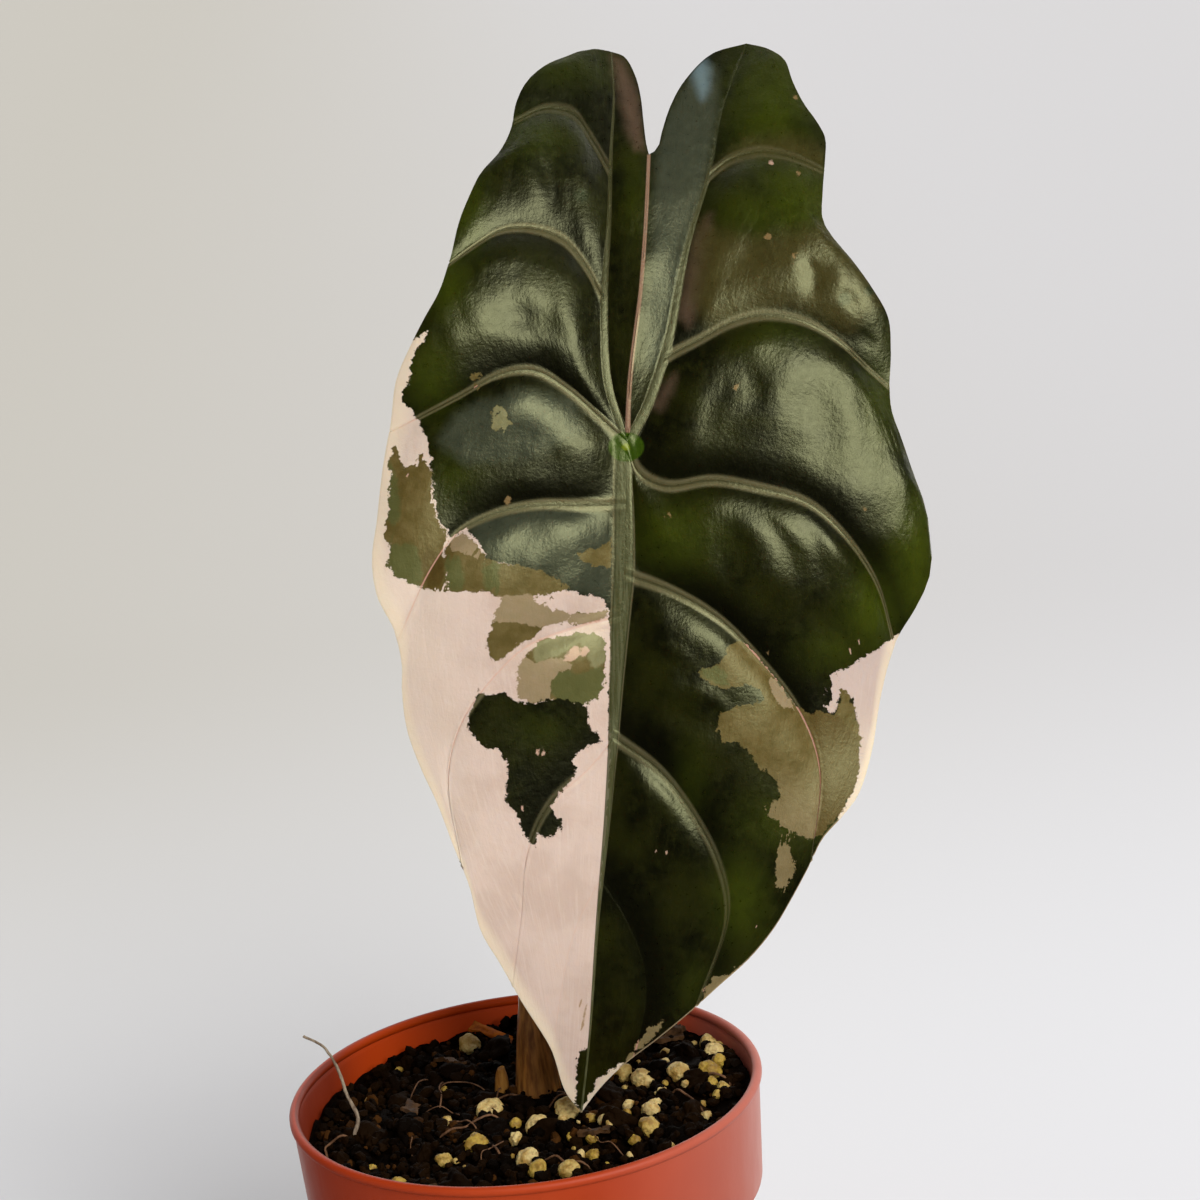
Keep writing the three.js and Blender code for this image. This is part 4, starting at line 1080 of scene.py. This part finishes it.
# Bark chips of each tone: place right and back, length, width, heading and tilt in degrees
BARK_CHIPS = {
    "orange": [(-5, 35.5, 11, 2.2, -38, 18), (4, 20, 5, 2.6, 20, 20)],
    "brown": [
        (28, 21.5, 8, 4, 10, 12), (30, 24, 5, 3, 150, 20), (-14, 24, 7, 3, 120, 18),
        (16, 28, 6, 3.5, 40, 22), (12, -16, 6, 2.6, 160, 15), (-22, 8, 6, 3, 75, 14),
        (-20, -28, 6, 2.4, 30, 10),
    ],
}


def make_bark():
    finishes = {
        "orange": fibre_finish("orange_bark", (0.200, 0.042, 0.002), (0.400, 0.105, 0.006), 500),
        "brown": fibre_finish("brown_bark", (0.020, 0.009, 0.003), (0.060, 0.028, 0.010), 500),
    }
    for tone, material in finishes.items():
        chips = []
        for x, y, length, width, heading, tilt in BARK_CHIPS[tone]:
            bpy.ops.mesh.primitive_cube_add(size=1)
            chip = bpy.context.object
            chip.scale = (length * MM, width * MM, 0.26 * width * MM)
            chip.rotation_euler = (math.radians(tilt), math.radians(0.6 * tilt), math.radians(heading))
            chip.location = (x * MM, y * MM, (soil_height(x, y) + 0.9) * MM)
            settled(chip)
            in_edit(chip, lambda: bpy.ops.mesh.subdivide(number_cuts=7))
            roughen(chip, ((0.45, 0.45, 0.45), 0.7), ((1.6, 1.6, 1.6), 0.22))
            smooth(chip, 30)
            chips.append(chip)
        chips = joined(f"{tone}_bark_chips", chips)
        finish_with(chips, material)
        hand_over(chips, "soil")


def make_fibres():
    """Fine brown root fibres that lie over the soil."""
    random = np.random.default_rng(5)
    fibres = []
    for k in range(FIBRE_COUNT):
        x, y = spot_within(random, 34)
        heading = 2 * math.pi * random.random()
        points = []
        for _ in range(6):
            points.append((x, y, soil_height(x, y) + 0.6 + 1.2 * random.random()))
            heading += 0.9 * (random.random() - 0.5)
            x, y = x + FIBRE_STEP * math.cos(heading), y + FIBRE_STEP * math.sin(heading)
            reach = math.hypot(x, y)
            if reach > FIBRE_REACH:
                x, y = x * FIBRE_REACH / reach, y * FIBRE_REACH / reach
        points[0] = (*points[0][:2], points[0][2] - 2)
        points[-1] = (*points[-1][:2], points[-1][2] - 2)
        thick = 0.1 + 0.14 * random.random()
        fibres.append(tube_along(f"fibre_{k}", points, lambda way, thick=thick: thick, 8, 30))
    fibres = joined("root_fibres", fibres)
    smooth(fibres)
    finish_with(fibres, fibre_finish("root_fibre", (0.050, 0.022, 0.010), (0.140, 0.070, 0.035)))
    hand_over(fibres, "soil")


# Stalk, stub and dry root


def make_stalk():
    joint = np.zeros(1)
    seat = placed_on_leaf(joint, joint, blade_form(joint, joint) - 0.2)[0]
    points = [
        (*STALK_BASE, SOIL_LEVEL - ROOTED_DEPTH),
        (*STALK_BASE, SOIL_LEVEL + 1),
        *STALK_PATH,
        tuple(seat - LEAF_FRONT * 3),
        tuple(seat),
    ]

    def radius_at(way):
        swollen = (STALK_BASE_RADIUS - STALK_RADIUS) * math.exp(-max(0, way - SWOLLEN_SHARE) / SWOLLEN_FADE)
        plain = min(STALK_BASE_RADIUS, STALK_RADIUS + swollen) - (STALK_RADIUS - STALK_TOP_RADIUS) * way
        flared_at_leaf = 0.9 * math.exp(-((1 - way) / 0.012) ** 2)
        return plain + flared_at_leaf

    stalk = tube_along("leaf_stalk", points, radius_at, 40, 170)
    roughen(stalk, ((0.7, 0.7, 0.05), 0.16))
    smooth(stalk)
    finish_with(stalk, stalk_finish())
    hand_over(stalk, "petiole", "petiole")


def make_stub():
    points = [
        (*STUB_BASE, SOIL_LEVEL - ROOTED_DEPTH),
        (*STUB_BASE, SOIL_LEVEL),
        (STUB_BASE[0] + 0.3, STUB_BASE[1] - 0.4, SOIL_LEVEL + STUB_HEIGHT),
    ]
    stub = tube_along("old_stub", points, lambda way: STUB_RADIUS * (1.02 - 0.5 * way**5), 24, 60)
    roughen(stub, ((1, 1, 0.3), 0.3))
    smooth(stub)
    finish_with(stub, fibre_finish("dry_stub", (0.130, 0.045, 0.006), (0.290, 0.145, 0.032), 600))
    hand_over(stub, "old_stalk_stub", "old_stalk_stub")


def make_dry_root():
    points = [(*ROOT_BASE, SOIL_LEVEL - ROOTED_DEPTH), (*ROOT_BASE, SOIL_LEVEL - 0.5), *ROOT_PATH]
    root = tube_along("dry_root_strand", points, lambda way: ROOT_RADIUS * (1 - ROOT_TAPER * way), 12, 110)
    roughen(root, ((0.8, 0.8, 0.8), 0.12))
    smooth(root)
    finish_with(root, fibre_finish("dry_root_skin", (0.080, 0.052, 0.034), (0.260, 0.210, 0.150), 900))
    hand_over(root, "dry_root", "dry_root")


# Leaf blade


def rise(distance, reach=SWELL_REACH):
    """Zero on a vein, and towards one well away from it."""
    return 1 - np.exp(-np.maximum(0, distance) / reach)


def lobes_half_spread(b):
    """Half the distance between the two lobes' veins, at a height above the joint."""
    return LOBES_SPREAD * np.sqrt(np.maximum(0, b))


def blade_form(a, b):
    """How far the blade's smooth form stands forward, before its relief."""
    across = np.abs(a - np.where(b > 0, LOBES_LEAN, BLADE_LEAN) * b)
    outside = np.maximum(0, across - lobes_half_spread(b))
    side = np.hypot(outside, FOLD_ROUNDING) - FOLD_ROUNDING
    dish = DISH_RISE * side - DISH_FALL * side**2
    bow = BOW_PEAK - BOW_FALL * (b + BOW_CENTRE) ** 2 - LOBES_FALL * np.maximum(0, b - LOBES_FALL_FROM) ** 2
    shift = np.where(a > BLADE_LEAN * b, WAVE_SHIFT_RIGHT, WAVE_SHIFT_LEFT)
    wave = WAVE_HEIGHT * np.minimum(1, (side / WAVE_FULL_AT) ** 2) * np.sin(WAVE_RATE * b + shift)
    return dish + bow + wave


def ribs_of(axis, margin, veins, end):
    """The side veins of one part: start on the main vein, finish on the margin, and the curve between."""
    ribs = []
    for points in veins:
        start, finish = nearest_way(axis, points[0]), nearest_way(margin, points[-1])
        root, edge = along(axis, start), along(margin, finish)
        ribs.append((start, finish, smooth_curve([root, *points[1:-1], edge])))
    return [*ribs, (1, end, None)]


def bend_of(axis, margin, rib, v):
    """How far a side vein lies from the straight line between its ends."""
    start, finish, curve = rib
    if curve is None:
        return np.zeros((len(v), 2))
    root, edge = along(axis, start), along(margin, finish)
    return along(curve, v) - (root + (edge - root) * v[:, None])


def stations_of(steps, *rib_lists):
    """Places along a main vein where rows of faces start, closer together at each side vein."""
    shares = np.linspace(0, 1, steps, endpoint=False)
    shares = shares - 0.62 * np.sin(2 * np.pi * shares) / (2 * np.pi)
    ways = [1.0]
    for ribs in rib_lists:
        for rib, following in zip(ribs, ribs[1:]):
            ways += list(rib[0] + (following[0] - rib[0]) * shares)
    ways = sorted(ways)
    starts = [rib[0] for ribs in rib_lists for rib in ribs]
    kept = [ways[0]]
    for way in ways[1:]:
        if way - kept[-1] > 0.0022:
            kept.append(way)
        elif way in starts and kept[-1] not in starts:
            kept[-1] = way
    return kept


def smooth_step(value, low, high):
    share = min(1, max(0, (value - low) / (high - low)))
    return share * share * (3 - 2 * share)


def veined_rows(axis, margin, ribs, stations, columns, width_at, band, sleek):
    """The blade rises slowly above each side vein and drops quickly to the next one."""
    rows = []
    near, far = REACH_BELOW_VEIN, REACH_ABOVE_VEIN
    if along(axis, 1.0)[1] > 0:
        near, far = far, near
    for way in stations:
        k = max(0, next(n for n, rib in enumerate(ribs) if rib[0] >= way) - 1)
        rib, following = ribs[k], ribs[k + 1]
        share = (way - rib[0]) / (following[0] - rib[0])
        root = along(axis, way)
        edge = along(margin, rib[1] + (following[1] - rib[1]) * share)
        width = np.linalg.norm(edge - root)
        v = columns
        low, high = (bend_of(axis, margin, one, v) for one in (rib, following))
        places = root + (edge - root) * v[:, None] + low * (1 - share) + high * share
        ends = []
        for one, bend in ((rib, low), (following, high)):
            start, finish = along(axis, one[0]), along(margin, one[1])
            ends.append(start + (finish - start) * v[:, None] + bend)
        reach = np.linalg.norm(ends[1] - ends[0], axis=1)
        last = following[2] is None
        vein = SIDE_VEIN_HALF_WIDTH * (1 - 0.8 * v) + LEAST_VEIN
        next_vein = 0 if last else vein
        swell = rise(share * reach - vein, near) * rise((1 - share) * reach - next_vein, far)
        swell = swell * rise(v * width - width_at(way))
        swell = swell * (LEAST_EDGE_SWELL + (1 - LEAST_EDGE_SWELL) * rise((1 - v) * width))
        swell = swell * min(1, width / FULL_SWELL_WIDTH)
        sleekness = np.array([smooth_step(max(0, abs(a) - 15) - b, *sleek) for a, b in places])
        swell = swell * (1 - (1 - SLEEK_SWELL) * sleekness)
        from_vein = share * reach if last else np.minimum(share, 1 - share) * reach
        # How far each place lies above the vein below it; the finish paints shade near that vein.
        above_vein = (1 - share) * reach + (FAR_FROM_VEIN if last else 0)
        if near == REACH_ABOVE_VEIN:
            above_vein = share * reach
        band_gone = 3 * smooth_step(-root[1], *LAST_BANDS)
        rows.append({
            "place": places,
            "swell": swell,
            "side_vein": from_vein / (band * (1 - BAND_TAPER * v)) + band_gone,
            "from_vein": from_vein,
            "above_vein": above_vein,
            "seam": np.full(len(v), NO_VEIN),
            "main_vein": v * width / max(width_at(way), LEAST_VEIN),
            "margin": (1 - v) * width,
            "flow": np.stack([v * width, share * reach], 1),
        })
    return rows


def lobe_rows(axis, seam, notch, stations, columns, width_at):
    """The strip from a lobe's main vein to the seam between the lobes, and above it to the notch."""
    rows = []
    for way in stations:
        root = along(axis, way)
        past = (way - NOTCH_START) / (1 - NOTCH_START)
        edge = along(seam, way / NOTCH_START) if past <= 0 else along(notch, past)
        width = np.linalg.norm(edge - root)
        v = columns
        places = root + (edge - root) * v[:, None]
        least = 1 + (LEAST_EDGE_SWELL - 1) * smooth_step(past, SINKS_FROM, EDGE_SUNK_AT)
        swell = rise(v * lobes_half_spread(places[:, 1]) - width_at(way))
        swell = swell * (least + (1 - least) * rise((1 - v) * width))
        rows.append({
            "place": places,
            "swell": swell * SEAM_SWELL * (1 - smooth_step(past, SINKS_FROM, 1)),
            "side_vein": np.full(len(v), NO_VEIN),
            "from_vein": np.full(len(v), NO_VEIN),
            "above_vein": np.full(len(v), FAR_FROM_VEIN),
            "seam": (1 - v) * width if past <= 0 else np.full(len(v), NO_VEIN),
            "main_vein": v * width / max(width_at(way), LEAST_VEIN),
            "margin": (1 - v) * width if past > 0 else np.full(len(v), NO_VEIN),
            "flow": np.stack([v * width, np.full(len(v), 60 * way)], 1),
        })
    return rows


def inside_distance(places, outline):
    """Distance to the outline, above zero inside it."""
    corners = np.array(outline, float)
    nearest = np.full(len(places), 1e9)
    crossings = np.zeros(len(places), int)
    x, y = places[:, 0], places[:, 1]
    for p, q in zip(corners, np.roll(corners, -1, axis=0)):
        side = q - p
        share = np.clip(((places - p) @ side) / (side @ side), 0, 1)
        nearest = np.minimum(nearest, np.linalg.norm(places - (p + share[:, None] * side), axis=1))
        if p[1] != q[1]:
            crosses = ((p[1] > y) != (q[1] > y)) & (x < (q[0] - p[0]) * (y - p[1]) / (q[1] - p[1]) + p[0])
            crossings += crosses
    return np.where(crossings % 2 == 1, nearest, -nearest)


def creases(a, b):
    """Height of the soft creases: each a slightly bent line that fades at both ends."""
    height = np.zeros(len(a))
    for from_a, from_b, to_a, to_b, width, depth in CREASES:
        side = np.array((to_a - from_a, to_b - from_b))
        length = np.hypot(*side)
        share = ((a - from_a) * side[0] + (b - from_b) * side[1]) / length**2
        away = ((a - from_a) * side[1] - (b - from_b) * side[0]) / length
        away = away + 0.12 * length * np.sin(np.pi * share)
        ends = np.exp(-(np.maximum(0, np.abs(share - 0.5) - 0.28) / 0.2) ** 2)
        height += depth * ends * np.exp(-((away / width) ** 2))
    return height


def fine_relief(a, b, values):
    """Raised veins, and the small puckers that cross each cell from vein to vein."""
    side, main = values["side_vein"], values["main_vein"]
    rails = 0.16 * np.exp(-((side - 0.65) / 0.35) ** 2) - 0.08 * np.exp(-((side / 0.3) ** 2))
    midrib = 0.4 * np.maximum(0, 1 - main**2) - 0.1 * np.exp(-((main / 0.35) ** 2))
    midrib = midrib * np.clip(values["way_width"] / 2, 0.25, 1)
    puckers = np.empty(len(a))
    for k, (u, v) in enumerate(values["flow"]):
        cross = noise.noise(Vector((u * 0.28, v * 0.07, 2.5)))
        lump = noise.noise(Vector((a[k] * 0.13, b[k] * 0.13, 9)))
        small = noise.noise(Vector((u * 0.75, v * 0.22, 4)))
        puckers[k] = 0.28 * cross + 0.6 * lump + 0.08 * small
    calm = np.clip(values["swell"] * 1.4, 0, 1) * np.clip(values["margin"] / 4, 0, 1)
    return rails * (side < 3) + midrib * (main < 1) + (puckers + creases(a, b)) * calm


def placed_on_leaf(a, b, height):
    """The leaf's own place in the part's frame, drawn in where it stands nearer to the eye."""
    shrink = 1 - height / EYE_DISTANCE
    right = EYE_AIM[0] + (a - EYE_AIM[0]) * shrink
    up = EYE_AIM[1] + (b - EYE_AIM[1]) * shrink
    return LEAF_JOINT + np.outer(right, LEAF_RIGHT) + np.outer(up, LEAF_UP) + np.outer(height, LEAF_FRONT)


def leaf_part(name, rows, width_at, stations):
    """One part of the blade: a grid whose rows follow the side veins."""
    values = {key: np.concatenate([row[key] for row in rows]) for key in rows[0]}
    columns = len(rows[0]["place"])
    values["way_width"] = np.repeat([width_at(way) for way in stations], columns)
    bpy.ops.mesh.primitive_grid_add(x_subdivisions=columns - 1, y_subdivisions=len(rows) - 1, size=1)
    part = named(name)
    a, b = values["place"].T
    height = blade_form(a, b) + SWELL * values["swell"] + fine_relief(a, b, values)
    put_places(part, placed_on_leaf(a, b, height) * MM)
    give_values(part, "leaf_place", np.stack([a, b, np.zeros(len(a))], 1))
    give_values(part, "leaf_flow", np.column_stack([values["flow"], np.zeros(len(a))]))
    for key in ("side_vein", "main_vein", "margin", "seam", "from_vein", "above_vein"):
        give_values(part, key, np.minimum(values[key], FAR_FROM_VEIN))
    give_values(part, "joint_distance", np.hypot((a + 0.2) / 3.4, (b + 0.8) / 2.7))
    give_values(part, "low_margin", np.clip((-60 - b) / 8, 0, 1) * (a > -9))
    # Painted backlight glow, made of soft spots, for the finish to read.
    painted_backlight = [
        strength * np.exp(-((a - x) / right) ** 2 - ((b - y) / up) ** 2)
        for x, y, right, up, strength in PAINTED_BACKLIGHT_GLOWS
    ]
    give_values(part, "painted_backlight", np.max(painted_backlight, axis=0))
    left = name.startswith("left")
    for kind, outlines in PATCHES.items():
        own = [outline for outline in outlines if (outline[0][0] < 0) == left]
        distances = [inside_distance(values["place"], outline) for outline in own]
        give_values(part, kind, np.max([np.full(len(a), FAR_OUTSIDE), *distances], axis=0))
    for kind, spots in (("pink_spot", PINK_SPOTS), ("tan_spot", TAN_SPOTS), ("dark_spot", DARK_SPOTS)):
        give_values(part, kind, np.max([r - np.hypot(a - x, b - y) for x, y, r in spots], axis=0))
    first = part.data.polygons[len(part.data.polygons) // 2]
    if Vector(first.normal) @ Vector(LEAF_FRONT) < 0:
        in_edit(part, bpy.ops.mesh.flip_normals)
    return part


def make_blade():
    midrib, seam = smooth_curve(MIDRIB), smooth_curve(SEAM)
    left_margin, right_margin = smooth_curve(LEFT_MARGIN), smooth_curve(RIGHT_MARGIN)
    left_lobe, right_lobe = smooth_curve(LEFT_LOBE_VEIN), smooth_curve(RIGHT_LOBE_VEIN)
    left_ribs = ribs_of(midrib, left_margin, LEFT_BLADE_VEINS, 1)
    right_ribs = ribs_of(midrib, right_margin, RIGHT_BLADE_VEINS, 1)
    left_lobe_ribs = ribs_of(left_lobe, left_margin, LEFT_LOBE_VEINS, 0)
    right_lobe_ribs = ribs_of(right_lobe, right_margin, RIGHT_LOBE_VEINS, 0)
    blade_stations = stations_of(24, left_ribs, right_ribs)
    lobe_stations = sorted([*stations_of(22, left_lobe_ribs, right_lobe_ribs), NOTCH_START])

    shares = np.linspace(0, 1, 52)
    columns = shares - 0.45 * np.sin(2 * np.pi * shares) / (2 * np.pi)
    seam_columns = np.linspace(0, 1, 16)

    def midrib_width(way):
        return MIDRIB_HALF_WIDTH * (1 - way) ** MIDRIB_TAPER + LEAST_VEIN

    def lobe_width(way):
        return LOBE_VEIN_HALF_WIDTH * (1.1 - way)

    parts = []
    on_blade = (blade_stations, midrib_width, BLADE_BAND)
    on_lobe = (lobe_stations, lobe_width, LOBE_BAND)
    for name, axis, margin, ribs, (stations, width_at, band), sleek in (
        ("left_blade", midrib, left_margin, left_ribs, on_blade, LEFT_SLEEK),
        ("right_blade", midrib, right_margin, right_ribs, on_blade, RIGHT_SLEEK),
        ("left_lobe", left_lobe, left_margin, left_lobe_ribs, on_lobe, LEFT_SLEEK),
        ("right_lobe", right_lobe, right_margin, right_lobe_ribs, on_lobe, RIGHT_SLEEK),
    ):
        rows = veined_rows(axis, margin, ribs, stations, columns, width_at, band, sleek)
        parts.append(leaf_part(name, rows, width_at, stations))
    for name, axis, notch in (
        ("left_notch", left_lobe, smooth_curve(LEFT_NOTCH)),
        ("right_notch", right_lobe, smooth_curve(RIGHT_NOTCH)),
    ):
        rows = lobe_rows(axis, seam, notch, lobe_stations, seam_columns, lobe_width)
        parts.append(leaf_part(name, rows, lobe_width, lobe_stations))
    blade = joined("variegated_blade", parts)
    in_edit(
        blade,
        lambda: bpy.ops.mesh.remove_doubles(threshold=2e-5),
        lambda: bpy.ops.mesh.dissolve_degenerate(threshold=1e-6),
    )
    finish_with(blade, leaf_finish("leaf_face"), leaf_finish("leaf_underside", underside=True))
    apply_modifier(
        blade, "SOLIDIFY", thickness=LEAF_THICKNESS * MM, offset=0, use_rim=True,
        material_offset=1, material_offset_rim=0,
    )
    low, high = (np.array(corner) for corner in cad_box)
    put_places(blade, np.clip(places_of(blade), low, high))
    smooth(blade)
    hand_over(blade, "leaf_blade", "leaf_blade")


# Setting


def make_floor():
    """A wide pale surface with painted light: darker and warmer at the left, paler and cooler at the right,
    and brighter towards the plant.
    """
    f = Finish("pale_floor", Roughness=0.9, Specular_IOR_Level=0.1)
    across, back, _ = f.parts(f.object_place)
    colour = f.mix(f.between(across, -0.3, 0.35), (0.492, 0.476, 0.440), (0.575, 0.572, 0.592))
    colour = f.mix(f.between(back, 0.62, 0.1, 0, 0.75), colour, (0.745, 0.755, 0.800))
    f.colour(colour)
    bpy.ops.mesh.primitive_plane_add(size=100, location=(0, 3, 0))
    floor = named("pale_floor")
    settled(floor)
    finish_with(floor, f.material)
    floor.visible_glossy = False


def make_room():
    """The room that the leaf mirrors: bright behind the plant, and dim in front of it."""
    world = bpy.data.worlds.new("soft_room")
    world.use_nodes = True
    tree = world.node_tree
    background = tree.nodes["Background"]
    background.inputs["Color"].default_value = (1.0, 0.99, 0.97, 1)
    way = tree.nodes.new("ShaderNodeTexCoord").outputs["Generated"]
    parts = tree.nodes.new("ShaderNodeSeparateXYZ")
    tree.links.new(way, parts.inputs[0])
    towards_back = tree.nodes.new("ShaderNodeMath")
    towards_back.operation = "MULTIPLY_ADD"
    tree.links.new(parts.outputs["X"], towards_back.inputs[0])
    towards_back.inputs[1].default_value = 0.3
    tree.links.new(parts.outputs["Y"], towards_back.inputs[2])
    strength = tree.nodes.new("ShaderNodeMapRange")
    strength.interpolation_type = "SMOOTHSTEP"
    tree.links.new(towards_back.outputs[0], strength.inputs["Value"])
    for key, value in (("From Min", 0.42), ("From Max", 0.9), ("To Min", 0.04), ("To Max", 1.9)):
        strength.inputs[key].default_value = value
    tree.links.new(strength.outputs["Result"], background.inputs["Strength"])
    bpy.context.scene.world = world


def make_lights():
    """A broad window at the front right, and the soft light that the room throws back from the left."""
    for name, energy, breadth, colour, heading in (
        ("window", 4.3, 42, (1, 0.985, 0.955), (-0.423, 0.677, -0.602)),
        ("room_fill", 0.9, 90, (1, 0.98, 0.95), (0.65, 0.68, -0.33)),
    ):
        data = bpy.data.lights.new(name, "SUN")
        data.energy = energy
        data.angle = math.radians(breadth)
        data.color = colour
        light = bpy.data.objects.new(name, data)
        bpy.context.collection.objects.link(light)
        light.rotation_euler = Vector(heading).to_track_quat("-Z", "Y").to_euler()
        light.visible_glossy = name == "window"


def make_camera():
    turn = tuple(math.radians(angle) for angle in CAMERA_TURN)
    bpy.ops.object.camera_add(location=CAMERA_PLACE, rotation=turn)
    camera = bpy.context.object
    camera.name = "photo_view"
    camera.data.sensor_width = 36
    camera.data.lens = CAMERA_LENS
    camera.data.clip_start = 0.01
    bpy.context.scene.camera = camera


# A fixed start for the noise, so that each run gives the same shapes
noise.seed_set(4)
bpy.context.scene.view_settings.view_transform = "Standard"
make_camera()
make_floor()
make_room()
make_lights()
make_pot()
make_soil_bed()
make_grains()
make_crumbs()
make_bark()
make_fibres()
make_stalk()
make_stub()
make_dry_root()
make_blade()
deselect()
